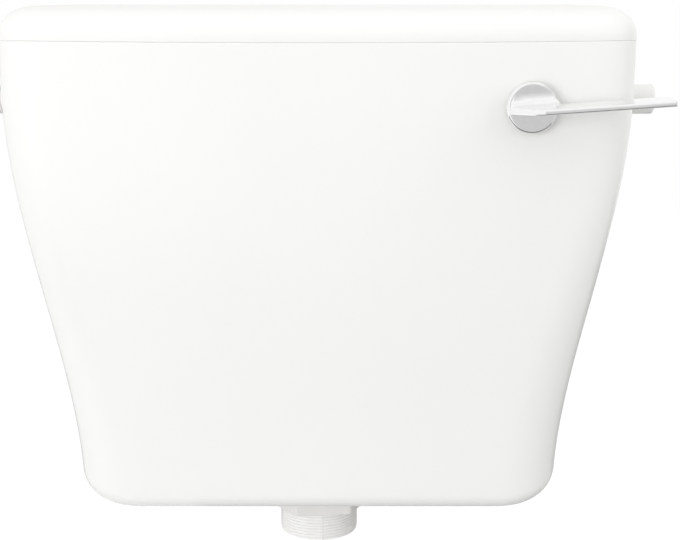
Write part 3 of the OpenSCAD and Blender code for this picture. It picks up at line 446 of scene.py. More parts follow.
# %% Helpers for surfaces
def weave(grid, close_u=False, close_v=True, caps=False, groove=None):
    """Points, four-sided faces, end caps and painted shade of a grid. A face joins this row and the next,
    and this column and the next; a closed direction joins its last line to its first. The painted shade is 0
    on a plain surface, and 1 where the colour is darkest, such as the bottom of a thread's hollow."""
    rows, columns = grid.shape[:2]
    u = np.arange(rows if close_u else rows - 1)[:, None]
    v = np.arange(columns if close_v else columns - 1)[None, :]
    next_u, next_v = (u + 1) % rows, (v + 1) % columns
    quads = np.stack(
        [u * columns + v, u * columns + next_v, next_u * columns + next_v, next_u * columns + v], axis=-1
    ).reshape(-1, 4)
    ends = [np.arange(columns), np.arange(columns) + (rows - 1) * columns] if caps else []
    groove = np.zeros(rows * columns) if groove is None else np.reshape(groove, -1)
    return grid.reshape(-1, 3), quads, ends, groove


def turn_outwards(mesh, merge=False):
    """Merges points that fall together, if asked, and turns all faces outwards."""
    work = bmesh.new()
    work.from_mesh(mesh)
    if merge:
        bmesh.ops.remove_doubles(work, verts=work.verts, dist=0.0005 * MM)
    bmesh.ops.recalc_face_normals(work, faces=work.faces)
    work.to_mesh(mesh)
    work.free()


def smooth(mesh, crease):
    """Smooth shading, with a hard line along each edge that is sharper than the crease angle."""
    mesh.polygons.foreach_set("use_smooth", np.ones(len(mesh.polygons), bool))
    mesh.set_sharp_from_angle(angle=math.radians(crease))


CREASE = 38


def piece(name, body, slot, shells, stands_for=(), crease=CREASE):
    """One object from woven surfaces, smooth except where two faces meet at more than the crease angle."""
    points, faces, grooves, start = [], [], [], 0
    for shell_points, quads, ends, groove in shells:
        points.append(shell_points)
        grooves.append(groove)
        faces += (quads + start).tolist() + [(end + start).tolist() for end in ends]
        start += len(shell_points)
    mesh = bpy.data.meshes.new(name)
    mesh.from_pydata(np.concatenate(points).tolist(), [], faces)
    # The groove attribute carries the painted shade of each point.
    mesh.attributes.new("groove", "FLOAT", "POINT").data.foreach_set("value", np.concatenate(grooves))
    turn_outwards(mesh, merge=True)
    obj = bpy.data.objects.new(name, mesh)
    scene.collection.objects.link(obj)
    smooth(mesh, crease)
    mesh.materials.append(FINISHES[slot])
    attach(obj, body)
    if stands_for:
        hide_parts(*stands_for)
    print(name, "with", len(mesh.polygons), "faces")
    return obj


print("helpers for surfaces are ready")

# %% [markdown]
# Pipes, nuts and the lever's hub are turned shapes. A profile is drawn with sharp corners, `soften` rounds
# them, and `lathe` carries the profile round an axis. Each axis of the cistern is read from a CAD node that
# sits on it, so nothing has to be fitted by eye.


# %% Helpers for turned shapes
def soften(corners, cut, steps=4):
    """A closed line with its corners rounded: each corner becomes a parabola that starts and ends a cut
    away from it, or a bit under half of its shorter side where that is less."""
    corners = np.asarray(corners, float)
    back = np.roll(corners, 1, axis=0) - corners
    ahead = np.roll(corners, -1, axis=0) - corners
    back_length = np.linalg.norm(back, axis=1, keepdims=True)
    ahead_length = np.linalg.norm(ahead, axis=1, keepdims=True)
    most = 0.49 * np.minimum(back_length, ahead_length)
    cut = np.minimum(np.broadcast_to(np.reshape(cut, (-1, 1)), most.shape), most)
    first = corners + back / back_length * cut
    last = corners + ahead / ahead_length * cut
    t = np.linspace(0, 1, steps + 1)[None, :, None]
    curve = (1 - t) ** 2 * first[:, None] + 2 * t * (1 - t) * corners[:, None] + t**2 * last[:, None]
    return curve.reshape(-1, 2)


class Axis:
    """A place to turn things: an origin, the direction along the axis and two directions across it."""

    def __init__(self, origin, along, across, up):
        self.origin, self.along = np.array(origin, float), np.array(along, float)
        self.across, self.up = np.array(across, float), np.array(up, float)

    def put(self, x, y, z):
        """Points that lie x across, y up and z along the axis."""
        x, y, z = np.broadcast_arrays(x, y, z)
        return self.origin + x[..., None] * self.across + y[..., None] * self.up + z[..., None] * self.along


def lathe(axis, profile, steps=96):
    """A profile of radius and distance along the axis, carried once round it: x = r cos a, y = r sin a."""
    angle = np.linspace(0, 2 * np.pi, steps, endpoint=False)[None, :]
    radius, along = np.asarray(profile)[:, :1], np.asarray(profile)[:, 1:]
    return weave(axis.put(radius * np.cos(angle), radius * np.sin(angle), along), close_u=True)


def middle(node):
    """The middle of a CAD node's box."""
    low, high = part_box(node)
    return (np.array(low) + np.array(high)) / 2


UP, RIGHT, BACK = np.eye(3)[2], np.eye(3)[0], np.eye(3)[1]
OUTLET = Axis(middle("base_washer") * [1, 1, 0], UP, RIGHT, BACK)
PORTS = Axis(middle("inlet_seal") * [0, 1, 1], RIGHT, BACK, UP)
tank_low, tank_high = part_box("cistern_body")
lid_low, lid_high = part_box("lid")
LEVER = Axis(middle("bush_washer") * [1, 0, 1] + [0, lid_low.y, 0], -BACK, RIGHT, UP)
print("outlet", OUTLET.origin, "ports", PORTS.origin, "lever", LEVER.origin)

# %% [markdown]
# The tank is a rounded box whose sides draw in on an S-curve towards the base. Modelling it by pulling
# vertices would never keep both ends of that curve smooth. Here it is one closed surface. The outline of each
# height is a rounded rectangle, whose front corners grow towards the base. The seam under the lid hangs a
# little in the middle, as the rim of such a moulding does.

# %% The tank's outline
RIM_HALF, RIM_DEPTH = lid_high.x, -lid_low.y
RIM_Z, BASE_Z = tank_high.z, tank_low.z
SIDE_TAPER, FRONT_TAPER, TAPER_START = 38.3 * MM, 12 * MM, 31 * MM
FRONT_CORNER, BASE_CORNER, BACK_CORNER, LEAST_CORNER = 28 * MM, 47 * MM, 12 * MM, 1 * MM
ARC_STEPS, RUN_STEPS = 16, 12
SPAN = ARC_STEPS + RUN_STEPS
SAG, SAG_REACH = 1.5 * MM, 30 * MM


def taper(z):
    """Share of the taper at a height: t squared times (3 - 2t), where t goes from 0 to 1 down the wall."""
    t = np.clip((RIM_Z - TAPER_START - z) / (RIM_Z - BASE_Z - TAPER_START), 0, 1)
    return t * t * (3 - 2 * t)


def sag(flat, z):
    """How far the seam hangs: a parabola across the front, which fades off the seam and to the back."""
    across = 1 - (flat[..., 0] / RIM_HALF) ** 2
    depth = np.clip(-flat[..., 1] / RIM_DEPTH, 0, 1)
    near = np.exp(-(((z - RIM_Z) / SAG_REACH) ** 2))
    return SAG * across * depth**4 * near


def outlines(z, inset, shape_z=None):
    """Outlines at many heights at once: four quarter circles joined by straight runs, drawn in by an inset.
    Heights and insets have a row for each outline, and one column or a column for each point of it."""
    share = taper(z if shape_z is None else shape_z)
    z, inset, share = np.broadcast_arrays(z, inset, share, np.zeros(4 * SPAN))[:3]
    half = RIM_HALF - SIDE_TAPER * share - inset
    front = RIM_DEPTH - FRONT_TAPER * share - inset
    front_r = np.maximum(FRONT_CORNER + (BASE_CORNER - FRONT_CORNER) * share - inset, LEAST_CORNER)
    back_r = np.maximum(BACK_CORNER - inset, LEAST_CORNER)
    turn = np.linspace(0, 90, ARC_STEPS + 1)
    arcs = []
    for number, (side, y, r) in enumerate((
        (1, front_r - front, front_r),
        (1, -inset - back_r, back_r),
        (-1, -inset - back_r, back_r),
        (-1, front_r - front, front_r),
    )):
        here = np.s_[:, number * SPAN : number * SPAN + ARC_STEPS + 1]
        angle = np.radians(90 * (number - 1) + turn)
        x = side * (half - r)[here] + r[here] * np.cos(angle)
        arcs.append(np.stack([x, y[here] + r[here] * np.sin(angle)], axis=-1))
    t = np.linspace(0, 1, RUN_STEPS + 1)[None, 1:-1, None]
    lines = []
    for arc, after in zip(arcs, arcs[1:] + arcs[:1]):
        lines += [arc, arc[:, -1:] * (1 - t) + after[:, :1] * t]
    flat = np.concatenate(lines, axis=1)
    return np.concatenate([flat, (z - sag(flat, z))[..., None]], axis=2)


print("outline of", outlines(RIM_Z, np.zeros((1, 1))).shape[1], "points")

# %% [markdown]
# A profile carries that outline from the outlet hole under the floor, round the base edge, up the wall, over
# the rim, down inside and back across the floor to the hole. The base edge is a quarter circle. A bevel would
# make it the same all round, but on the real tank it is small along the front and grows round the corners
# to the sides, so each point of the outline has its own radius.

# %% The tank's wall
WALL, TANK_FLOOR = 3.5 * MM, 4 * MM
BASE_EDGE, SIDE_EDGE, LIP = 12 * MM, 20 * MM, 0.7 * MM
to_side = np.sin(np.radians(np.linspace(0, 90, ARC_STEPS + 1))) ** 2
to_back = np.linspace(1, 0, RUN_STEPS + 1)[1:-1]
right_half = np.concatenate([to_side, to_back, np.zeros(ARC_STEPS + 1)])
plain_run = np.zeros(RUN_STEPS - 1)
growth = np.concatenate([right_half, plain_run, right_half[::-1], plain_run])
edge = BASE_EDGE + (SIDE_EDGE - BASE_EDGE) * growth
inner_edge = edge - WALL
floor_top = BASE_Z + TANK_FLOOR
lip_foot = np.full_like(edge, RIM_Z - LIP)

quarter = np.radians(np.linspace(0, 90, 13))[:, None]
wall_z = np.linspace(BASE_Z + edge, lip_foot, 60)
inside_z = np.linspace(lip_foot, floor_top + inner_edge, 50)
lip_z = lip_foot + LIP * np.sin(quarter)
lip_inset = LIP * (1 - np.cos(quarter)) + 0 * edge
bottom_z = floor_top + inner_edge * (1 - np.cos(quarter))
bottom_inset = WALL + inner_edge * (1 - np.sin(quarter))
profile_z = np.concatenate([
    BASE_Z + edge * (1 - np.cos(quarter)), wall_z[1:], lip_z[1:],
    lip_z[::-1], inside_z[1:], bottom_z[::-1][1:],
])
profile_inset = np.concatenate([
    edge * (1 - np.sin(quarter)), 0 * wall_z[1:], lip_inset[1:],
    (WALL - lip_inset)[::-1], WALL + 0 * inside_z[1:], bottom_inset[::-1][1:],
])
wall = outlines(profile_z, profile_inset)
OUTLET_HOLE = 30.3 * MM


def to_hole(row, steps=6):
    """Rows from an outline in to the round outlet hole, straight towards the hole's middle."""
    away = row[:, :2] - OUTLET.origin[:2]
    rim = OUTLET.origin[:2] + OUTLET_HOLE * away / np.linalg.norm(away, axis=1, keepdims=True)
    hole = np.concatenate([rim, row[:, 2:]], axis=1)
    t = np.linspace(0, 1, steps + 1)[1:, None, None]
    return row[None] * (1 - t) + hole[None] * t


tank_shell = np.concatenate([to_hole(wall[0])[::-1], wall, to_hole(wall[-1])])
print("tank shell of", tank_shell.shape[0], "rows")

# %% [markdown]
# Round pads stiffen the wall where the ports, the lever's bush and the wall screws pass through. They could
# be made one with the wall, but it is enough that they sink into it. The holes have to be real, because the
# pieces in them show from behind, so a boolean cuts each one and the mesh keeps its result.


# %% The tank's pads and holes
def ring(axis, bore, outer, start, end, cut=0.5 * MM):
    """A flat ring with soft edges."""
    return lathe(axis, soften([[bore, start], [outer, start], [outer, end], [bore, end]], cut))


def drill(obj, cutters, steps=64):
    """Cuts plain round holes through an object: each cutter is an axis, a radius, a start and an end."""
    for axis, radius, start, end in cutters:
        angle = np.linspace(0, 2 * np.pi, steps, endpoint=False)[None, :]
        tube = axis.put(radius * np.cos(angle), radius * np.sin(angle), np.array([[start], [end]]))
        points, quads, ends, _ = weave(tube, caps=True)
        mesh = bpy.data.meshes.new("drill")
        mesh.from_pydata(points.tolist(), [], quads.tolist() + [cap.tolist() for cap in ends])
        turn_outwards(mesh)
        cutter = bpy.data.objects.new("drill", mesh)
        scene.collection.objects.link(cutter)
        cut = obj.modifiers.new("drill", "BOOLEAN")
        cut.object, cut.operation, cut.solver = cutter, "DIFFERENCE", "EXACT"
        drilled = bpy.data.meshes.new_from_object(obj.evaluated_get(bpy.context.evaluated_depsgraph_get()))
        obj.modifiers.clear()
        obj.data = drilled
        bpy.data.objects.remove(cutter)


OVERLAP = 1 * MM
FIXING_X, FIXING_R, FIXING_DEPTH = 150 * MM, 3.5 * MM, 9 * MM
FIXING_PAD_R, FIXING_PAD_IN = 12 * MM, 5.5 * MM
FIXINGS = [Axis((side * FIXING_X, 0, 0), -BACK, RIGHT, UP) for side in (-1, 1)]
INLET_HOLE, OVERFLOW_HOLE = 10.98 * MM, 13.72 * MM
PORT_PAD_R, PORT_PAD_IN, PORT_PAD_OUT = 23 * MM, 208.5 * MM, 214.5 * MM
PORT_IN, PORT_OUT = 205 * MM, 220 * MM
BUSH_HOLE, BUSH_PAD_R, BUSH_PAD_IN, BUSH_DEPTH = 9.5 * MM, 17.6 * MM, 4.5 * MM, 6 * MM
LEVER_IN = Axis(LEVER.origin, BACK, RIGHT, UP)

tank = piece("tank_wall", "tank", "tank_white", [weave(tank_shell, close_u=True)])
drill(tank, [
    *[(axis, FIXING_R, -OVERLAP, FIXING_DEPTH) for axis in FIXINGS],
    (PORTS, INLET_HOLE, -PORT_OUT, -PORT_IN),
    (PORTS, OVERFLOW_HOLE, PORT_IN, PORT_OUT),
    (LEVER_IN, BUSH_HOLE, -OVERLAP, BUSH_DEPTH),
])
smooth(tank.data, CREASE)
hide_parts("cistern_body")
piece("tank_pads", "tank", "tank_white", [
    ring(PORTS, INLET_HOLE, PORT_PAD_R, -PORT_PAD_OUT, -PORT_PAD_IN),
    ring(PORTS, OVERFLOW_HOLE, PORT_PAD_R, PORT_PAD_IN, PORT_PAD_OUT),
    ring(LEVER_IN, BUSH_HOLE, BUSH_PAD_R, OVERLAP, BUSH_PAD_IN),
    *[ring(axis, FIXING_R, FIXING_PAD_R, OVERLAP, FIXING_PAD_IN) for axis in FIXINGS],
])
print("drilled tank has", len(tank.data.polygons), "faces")

# %% [markdown]
# The lid follows the rim's outline. Its edge is a quarter of an ellipse that runs without a kink into a low
# crown, and a skirt inside keeps it on the tank. Profile and outline are carried just as for the tank, and
# the level middle of the crown is closed by one flat face.

# %% Lid
LID_TOP, LID_BAND, LID_EDGE, LID_CROWN, CROWN_RUN = lid_high.z, 3 * MM, 22 * MM, 2.5 * MM, 50 * MM
LID_WALL, SKIRT_GAP, SKIRT_WALL = 3 * MM, 0.8 * MM, 2 * MM
SKIRT_TOP, SKIRT_CUT, SEAM_LIP = 2.5 * MM, 0.3 * MM, 0.5 * MM
EDGE_Z = RIM_Z + LID_BAND
EDGE_RISE = LID_TOP - EDGE_Z - LID_CROWN
edge_end = math.atan(EDGE_RISE / LID_EDGE * CROWN_RUN / (2 * LID_CROWN))


def lid_profile(shell):
    """Heights and insets from the foot of the edge to the crown: an ellipse, then a parabola that levels
    out. Both lie a shell's thickness inside the lid's skin."""
    a = np.linspace(0, edge_end, 24)
    edge_z = EDGE_Z + (EDGE_RISE - shell) * np.sin(a)
    edge_inset = LID_EDGE - (LID_EDGE - shell) * np.cos(a)
    t = np.linspace(0, 1, 13)[1:]
    crown_z = LID_TOP - shell - (LID_TOP - shell - edge_z[-1]) * (1 - t) ** 2
    return np.concatenate([edge_z, crown_z]), np.concatenate([edge_inset, edge_inset[-1] + CROWN_RUN * t])


outer_z, outer_inset = lid_profile(0)
inner_z, inner_inset = lid_profile(LID_WALL)
skirt_out = WALL + SKIRT_GAP
skirt_in = skirt_out + SKIRT_WALL
foot = np.array([
    [skirt_in, RIM_Z + SKIRT_TOP],
    [skirt_in, lid_low.z + SKIRT_CUT],
    [skirt_in - SKIRT_CUT, lid_low.z],
    [skirt_out + SKIRT_CUT, lid_low.z],
    [skirt_out, lid_low.z + SKIRT_CUT],
    [skirt_out, RIM_Z],
    [SEAM_LIP, RIM_Z],
])
seam_z = RIM_Z + SEAM_LIP * (1 - np.cos(quarter[1:, 0]))
seam_inset = SEAM_LIP * (1 - np.sin(quarter[1:, 0]))
lid_z = np.concatenate([inner_z[::-1], foot[:, 1], seam_z, outer_z])[:, None]
lid_inset = np.concatenate([inner_inset[::-1], foot[:, 0], seam_inset, outer_inset])[:, None]
lid_shell = outlines(lid_z, lid_inset, shape_z=RIM_Z)
piece("lid_cover", "lid", "tank_white", [weave(lid_shell, caps=True)], ["lid"])

# %% [markdown]
# The lever is a chromed casting: a round hub, a blade that slopes forward out of its face, and a hollow cove
# that carries the face over into the blade. A sculpted mesh could blend the three, but each has a plain
# formula, and where they overlap the chrome hides the joint. The hub is turned on a lathe. An extra ring on
# its face keeps the shading of the flat face apart from its bevel.

# %% Lever hub
HUB_R, HUB_H, HUB_EDGE, FACE_RING = 16.75 * MM, 8 * MM, 1.8 * MM, 4 * MM
HUB_GAP, RECESS_R, RECESS, RECESS_CUT, REAR_CUT = 0.5 * MM, 14 * MM, 2.9 * MM, 0.3 * MM, 0.4 * MM
hub_corners = [
    [0, RECESS], [RECESS_R, RECESS], [RECESS_R, HUB_GAP], [HUB_R, HUB_GAP], [HUB_R, HUB_H],
    [HUB_R - FACE_RING, HUB_H], [0, HUB_H],
]
hub_cuts = [0, RECESS_CUT, RECESS_CUT, REAR_CUT, HUB_EDGE, 0, 0]
hub = lathe(LEVER, soften(hub_corners, hub_cuts, 8), 128)
root = HUB_R - HUB_EDGE
print("hub face of radius", round(root / MM, 2), "mm")

# %% [markdown]
# The blade is an outline in plan, from the hub's face out to the tip. Its upper and lower skins slope towards
# the front edge, and a quarter circle joins them to the rim all round. That edge is rounder where it faces
# the front, because hands and polishing wear it there.

# %% Lever blade
TILT = math.radians(4)
BLADE_LEN, BLADE_REACH, BLADE_ROOT, BLADE_RISE = 88.5 * MM, 18 * MM, 5.2 * MM, 1.8 * MM
BLADE_DROP, BLADE_EDGE, BLADE_BACK, BLADE_CORNER = 2.6 * MM, 3.6 * MM, 1 * MM, 1 * MM
EDGE_ROUND, FRONT_ROUND, LOW_ROUND, FRONT_LEAN = 0.6 * MM, 1.1 * MM, 1.2 * MM, 0.2 * MM


def tilted(right, up, out):
    """Points of the lever: right and up turned by its tilt, and so far out of the hub's back."""
    return LEVER.put(
        right * math.cos(TILT) - up * math.sin(TILT), right * math.sin(TILT) + up * math.cos(TILT), out
    )


blade_corners = [
    [-root, -OVERLAP], [-root, BLADE_BACK], [BLADE_CORNER, BLADE_REACH], [BLADE_LEN, BLADE_REACH],
    [BLADE_LEN, BLADE_BACK], [root, BLADE_BACK], [root, -OVERLAP],
]
blade_cuts = np.array([0.1, 0.5, 5, 1.2, 8, 0.4, 0.1]) * MM
plan = soften(blade_corners, blade_cuts, 12)
step = np.roll(plan, -1, axis=0) - np.roll(plan, 1, axis=0)
inwards = np.stack([step[:, 1], -step[:, 0]], axis=1) / np.linalg.norm(step, axis=1, keepdims=True)
rise = np.radians(np.linspace(0, 90, 8))
swing = np.concatenate([rise[::-1], rise])[:, None]
is_low = (np.arange(len(swing)) < len(rise))[:, None]
faces_front = np.clip(-inwards[:, 1], 0, 1) ** 2
rounding = EDGE_ROUND + (np.where(is_low, LOW_ROUND, FRONT_ROUND) - EDGE_ROUND) * faces_front[None]
lean = np.where(is_low, 0, FRONT_LEAN * faces_front[None])
band = plan[None] + inwards[None] * (lean + rounding * (1 - np.cos(swing)))[..., None]
share = (band[..., 1] + OVERLAP) / (BLADE_REACH + OVERLAP)
blade_top = BLADE_RISE - BLADE_DROP * share
blade_bottom = BLADE_RISE - BLADE_ROOT + (BLADE_ROOT - BLADE_DROP - BLADE_EDGE) * share
lift = rounding * (1 - np.sin(swing))
blade_up = np.where(is_low, blade_bottom + lift, blade_top - lift)
blade = weave(tilted(band[..., 0], blade_up, HUB_H + band[..., 1]), caps=True)
print("blade edge of", band.shape[1], "points")

# %% [markdown]
# The cove is one hollow curve, a parabola from the hub's face down to the blade, carried across the hub as
# wide as the face leaves room for. It starts thin at the blade's left edge and grows to its full reach. On
# the right it runs a little past the face as a shoulder. Both ends sink into the casting.

# %% Lever cove
COVE_TOP, COVE_BEND, COVE_FOOT, COVE_HOLLOW = 9.5 * MM, 3.2 * MM, 2.1 * MM, 0.3 * MM
COVE_REACH, COVE_TOE, TOE_SINK = 3 * MM, 8 * MM, 0.1 * MM
COVE_START, COVE_GROWTH = 0.125, 13 * MM
SHOULDER, TOP_SHOULDER = 17.7 * MM, 0.75
END_SINK, END_POWER = 0.98, 60
t = np.linspace(0, 1, 21)
blade_slope = BLADE_DROP / (BLADE_REACH + OVERLAP)
toe = BLADE_RISE - blade_slope * (COVE_TOE + OVERLAP) - TOE_SINK
cove_up = COVE_TOP * (1 - t) ** 2 + 2 * t * (1 - t) * COVE_BEND + t**2 * COVE_FOOT
cove_out = 2 * t * (1 - t) * COVE_HOLLOW + t**2 * COVE_REACH
cove_up = np.concatenate([cove_up, [toe, toe - OVERLAP, toe - OVERLAP, COVE_TOP]])[:, None]
cove_out = np.concatenate([cove_out, [COVE_TOE, COVE_TOE, -OVERLAP, -OVERLAP]])[:, None]
side = np.sin(np.radians(np.linspace(-90, 90, 61)))[None, :]
hub_end = np.sqrt(root**2 - cove_up**2)
shoulder = np.interp(cove_up, [COVE_FOOT, COVE_TOP], [SHOULDER, TOP_SHOULDER * SHOULDER])
across = side * np.where(side < 0, hub_end, np.maximum(hub_end, shoulder))
grow = 1 - (1 - COVE_START) * (1 - np.clip((across + root) / COVE_GROWTH, 0, 1)) ** 2
out = np.where(cove_out > 0, cove_out * grow, cove_out)
out = (out + OVERLAP) * (1 - END_SINK * np.abs(side) ** END_POWER) - OVERLAP
cove = weave(tilted(across, cove_up, HUB_H + out).transpose(1, 0, 2), caps=True)
piece("lever_casting", "lever", "chrome", [hub, blade, cove], ["lever_handle"], crease=32)

# %% [markdown]
# Pipe threads are helices. A stack of rings would do from far away, but a real thread climbs one pitch in
# each turn. A grid of level rows would cut across that helix and leave it ragged, so the rows here climb with
# it. Their grooves are darkened with painted shade. The outlet was moulded in two halves, and where they met,
# a low ridge runs down the front of its thread, with a fine line of painted shade beside it.


# %% Threads
def thread(axis, start, end, crest, bore, pitch, depth, steps=144, rows=10, ridge=None):
    """A threaded tube whose rows climb with the helix: z = start + pitch (row + turn), kept between its
    ends. The radius follows the row as a triangle with its tips cut flat, and fades in and out at the ends.
    A ridge is an angle, a height and a reach: the tube sinks on both sides of that angle, lies lowest a reach
    away and is back after four. On one side of the angle, within a fifth of the reach, a line of painted
    shade runs down the tube. The grooves take painted shade by their depth."""
    turn = np.linspace(0, 1, steps + 1)[None, :]
    row = np.arange(-rows, math.ceil((end - start) / pitch) * rows + 1)[:, None] / rows
    z = np.clip(start + pitch * (row + turn), start, end)
    form = np.clip(2 - np.abs(4 * np.mod(row, 1) - 2), 0, 1)
    fade = np.clip((z - start) / pitch, 0, 1) * np.clip((end - z) / (0.5 * pitch), 0, 1)
    radius = crest - depth * (1 - form * fade)
    angle = 2 * np.pi * turn
    # Painted shade: darker colour in the grooves, by their depth.
    shade_depths = (1 - form) * fade
    if ridge is not None:
        ridge_angle, ridge_height, ridge_reach = ridge
        off = np.angle(np.exp(1j * (angle - ridge_angle))) / ridge_reach
        radius = radius - ridge_height * np.interp(np.abs(off), [0, 1, 4], [0, 1, 0])
        # Painted shade: a fine dark line beside the ridge, standing in for the shade of its step.
        shade_depths = np.maximum(shade_depths, np.interp(off, [0, 0.1, 0.2], [0, 1, 0]))
    inside = np.full_like(angle, bore)
    radii = np.concatenate([inside, radius, inside])
    heights = np.concatenate([inside * 0 + start, z, inside * 0 + end])
    grid = axis.put(radii * np.cos(angle), radii * np.sin(angle), heights)
    groove = np.concatenate([inside * 0, shade_depths, inside * 0])
    return weave(grid, close_u=True, close_v=False, groove=groove)


TAIL_R, TAIL_PITCH, TAIL_DEPTH, TAIL_BORE = 29.807 * MM, 2.309 * MM, 0.35 * MM, 25 * MM
TAIL_FLANGE_R, TAIL_FLANGE, TAIL_NECK_R = 40 * MM, 6 * MM, 32 * MM
TAIL_RIDGE = (math.radians(-85), 0.5 * MM, math.radians(13))
tail_low, tail_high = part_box("outlet_tail")
flange_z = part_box("outlet_seal")[1].z
neck_z = flange_z + TAIL_FLANGE
piece("outlet_pipe", "tank", "moulded_white", [
    thread(OUTLET, tail_low.z, flange_z + OVERLAP, TAIL_R, TAIL_BORE, TAIL_PITCH, TAIL_DEPTH,
           ridge=TAIL_RIDGE, steps=288),
    ring(OUTLET, TAIL_BORE, TAIL_FLANGE_R, flange_z, neck_z, 0.8 * MM),
    ring(OUTLET, TAIL_BORE, TAIL_NECK_R, neck_z - OVERLAP, tail_high.z, 0.6 * MM),
], ["outlet_tail"])

# %% [markdown]
# A moulded nut is a hexagon with rounded corners. Adding the cosines towards its six flats with a high power
# gives just that: the largest one rules on a flat, and two share at a corner. The rim of each end is rounded
# by the same soft profile as the rings. Each whole nut is painted darker than the pipes: painted shade, for
# the shade that the outlet's nut lies in under the tank's base.


# %% Nuts
def nut(axis, across_flats, bore, start, end, cut, turn=0.0, sharp=70, steps=240):
    """A soft hexagon nut: r = a (sum of max(0, cos)^p)^(-1/p) over the six flats, with p the sharpness."""
    angle = np.linspace(0, 2 * np.pi, steps, endpoint=False)
    flats = np.radians(turn + 30 + 60 * np.arange(6))[:, None]
    shape = np.sum(np.maximum(np.cos(angle[None] - flats), 0) ** sharp, axis=0) ** (-1 / sharp)
    half = across_flats / 2
    profile = soften([[bore, start], [half, start], [half, end], [bore, end]], cut, 6)
    share = np.clip((profile[:, :1] - bore) / (half - bore), 0, 1)
    radius = profile[:, :1] + share * half * (shape[None] - 1)
    grid = axis.put(radius * np.cos(angle), radius * np.sin(angle), profile[:, 1:])
    # Painted shade: the whole nut takes NUT_SHADE.
    return weave(grid, close_u=True, groove=np.full(grid.shape[:2], NUT_SHADE))


# How much painted shade the nuts take, for the shade under the tank's base.
NUT_SHADE = 0.7
OUTLET_FLATS, OUTLET_TURN, WASHER_R, OUTLET_BORE = 73 * MM, 6, 41 * MM, 29.96 * MM
INLET_FLATS, INLET_NUT_BORE = 30 * MM, 10.63 * MM
OVERFLOW_FLATS, OVERFLOW_NUT_BORE = 36 * MM, 13.37 * MM
low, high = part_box("outlet_backnut")
hexagon = nut(OUTLET, OUTLET_FLATS, OUTLET_BORE, low.z, high.z, 1.6 * MM, OUTLET_TURN)
piece("outlet_hexagon", "tank", "moulded_white", [hexagon], ["outlet_backnut"])
low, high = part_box("base_washer")
washer = ring(OUTLET, OUTLET_BORE, WASHER_R, low.z, high.z, 0.5 * MM)
piece("outlet_washer", "tank", "moulded_white", [washer], ["base_washer"])
for name, node, flats, bore in (
    ("inlet_hexagon", "inlet_backnut", INLET_FLATS, INLET_NUT_BORE),
    ("overflow_hexagon", "overflow_nut", OVERFLOW_FLATS, OVERFLOW_NUT_BORE),
):
    low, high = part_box(node)
    hexagon = nut(PORTS, flats, bore, low.x, high.x, 0.8 * MM, steps=144)
    piece(name, "tank", "moulded_white", [hexagon], [node])

# %% [markdown]
# The overflow is a flange inside the tank, a thread through the wall and a plain spigot outside. They are
# turned on one axis and overlap, with the edges softened as a mould leaves them. The spigot's free end is
# rounded more, because a pipe has to slip over it.

# %% Overflow connector
PORT_PITCH, PORT_DEPTH = 1.814 * MM, 1 * MM
OVERFLOW_R, OVERFLOW_BORE, OVERFLOW_FLANGE_R, OVERFLOW_FLANGE = 13.22 * MM, 8.5 * MM, 19 * MM, 3 * MM
SPIGOT_R, SPIGOT_LEN = 10.75 * MM, 18 * MM
SPIGOT_CUTS = np.array([0.3, 0.3, 1.9, 0.3]) * MM
low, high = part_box("overflow_connector")
flange_x = low.x + OVERFLOW_FLANGE
spigot_x = high.x - SPIGOT_LEN
spigot = [
    [OVERFLOW_BORE, spigot_x - OVERLAP], [SPIGOT_R, spigot_x - OVERLAP],
    [SPIGOT_R, high.x], [OVERFLOW_BORE, high.x],
]
piece("overflow_pipe", "tank", "moulded_white", [
    ring(PORTS, OVERFLOW_BORE, OVERFLOW_FLANGE_R, low.x, flange_x, 0.6 * MM),
    thread(PORTS, flange_x - OVERLAP, spigot_x, OVERFLOW_R, OVERFLOW_BORE, PORT_PITCH, PORT_DEPTH),
    lathe(PORTS, soften(spigot, SPIGOT_CUTS, 8)),
], ["overflow_connector"])

# %% [markdown]
# The fill valve comes in through the other side. Its thread, flange, barrel and housing are one profile on
# the axis of the ports, and a short spout carries the discharge tube. Only its threaded tail shows from
# outside, so the rest has just the soft edges of a moulding.

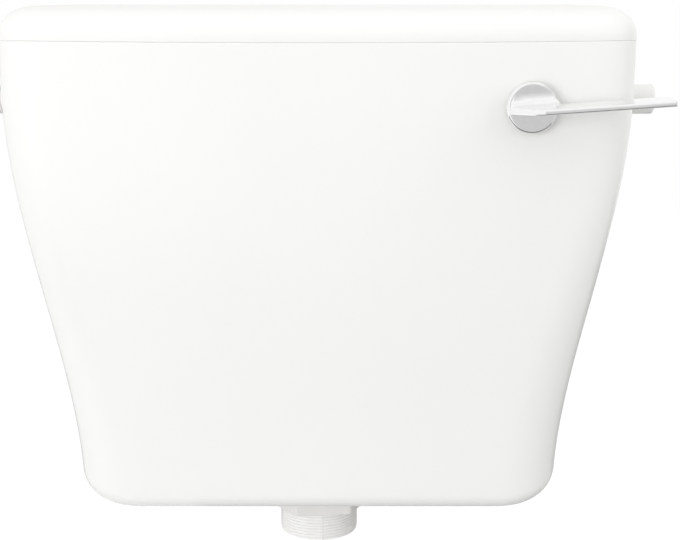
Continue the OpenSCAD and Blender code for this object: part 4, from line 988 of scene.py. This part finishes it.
# %% Fill valve
INLET_R, INLET_BORE, SEAT_BORE, SEAT_LEN = 10.4775 * MM, 5.5 * MM, 4.1 * MM, 14 * MM
FLANGE_R, FLANGE_LEN, BARREL_R, HOUSING_R, HOUSING_LEN = 17 * MM, 4 * MM, 13 * MM, 22 * MM, 12 * MM
SPOUT_R, SPOUT_BORE, SPOUT_TOP, SPOUT_END = 8.5 * MM, 5 * MM, 10 * MM, 23 * MM
low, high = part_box("valve_body")
flange_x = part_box("inlet_seal")[1].x
barrel_x = flange_x + FLANGE_LEN
housing_x = high.x - HOUSING_LEN
barrel = [
    [INLET_BORE, flange_x], [FLANGE_R, flange_x], [FLANGE_R, barrel_x], [BARREL_R, barrel_x],
    [BARREL_R, housing_x], [HOUSING_R, housing_x], [HOUSING_R, high.x], [SEAT_BORE, high.x],
    [SEAT_BORE, housing_x - SEAT_LEN], [INLET_BORE, housing_x - SEAT_LEN],
]
SPOUT = Axis(middle("discharge_tube") * [1, 1, 0], UP, RIGHT, BACK)
port_z = PORTS.origin[2]
piece("fill_valve", "tank", "moulded_white", [
    thread(PORTS, low.x, flange_x + OVERLAP, INLET_R, INLET_BORE, PORT_PITCH, PORT_DEPTH),
    lathe(PORTS, soften(barrel, 0.7 * MM)),
    ring(SPOUT, SPOUT_BORE, SPOUT_R, port_z - SPOUT_END, port_z - SPOUT_TOP, 0.4 * MM),
], ["valve_body"])

# %% [markdown]
# What is left are the CAD nodes whose shape is right already. Making them again would add nothing, so each
# just takes the finish of its material slot.

# %% Finishes of the CAD nodes
subparts = frame["record"]["subparts"]
for part in subparts:
    node = frame["nodes"][part["node"]]
    node.data.materials.clear()
    node.data.materials.append(FINISHES[part["material_slot"]])
print(len(subparts), "CAD nodes have their finish")

# %% [markdown]
# The corners of the dressed cistern's box are printed here. The size of the CAD model's box was printed at
# the start, so that the two can be compared.

# %% Sizes and the end
low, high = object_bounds()
print("visual box", [round(v / MM, 1) for v in low], [round(v / MM, 1) for v in high])
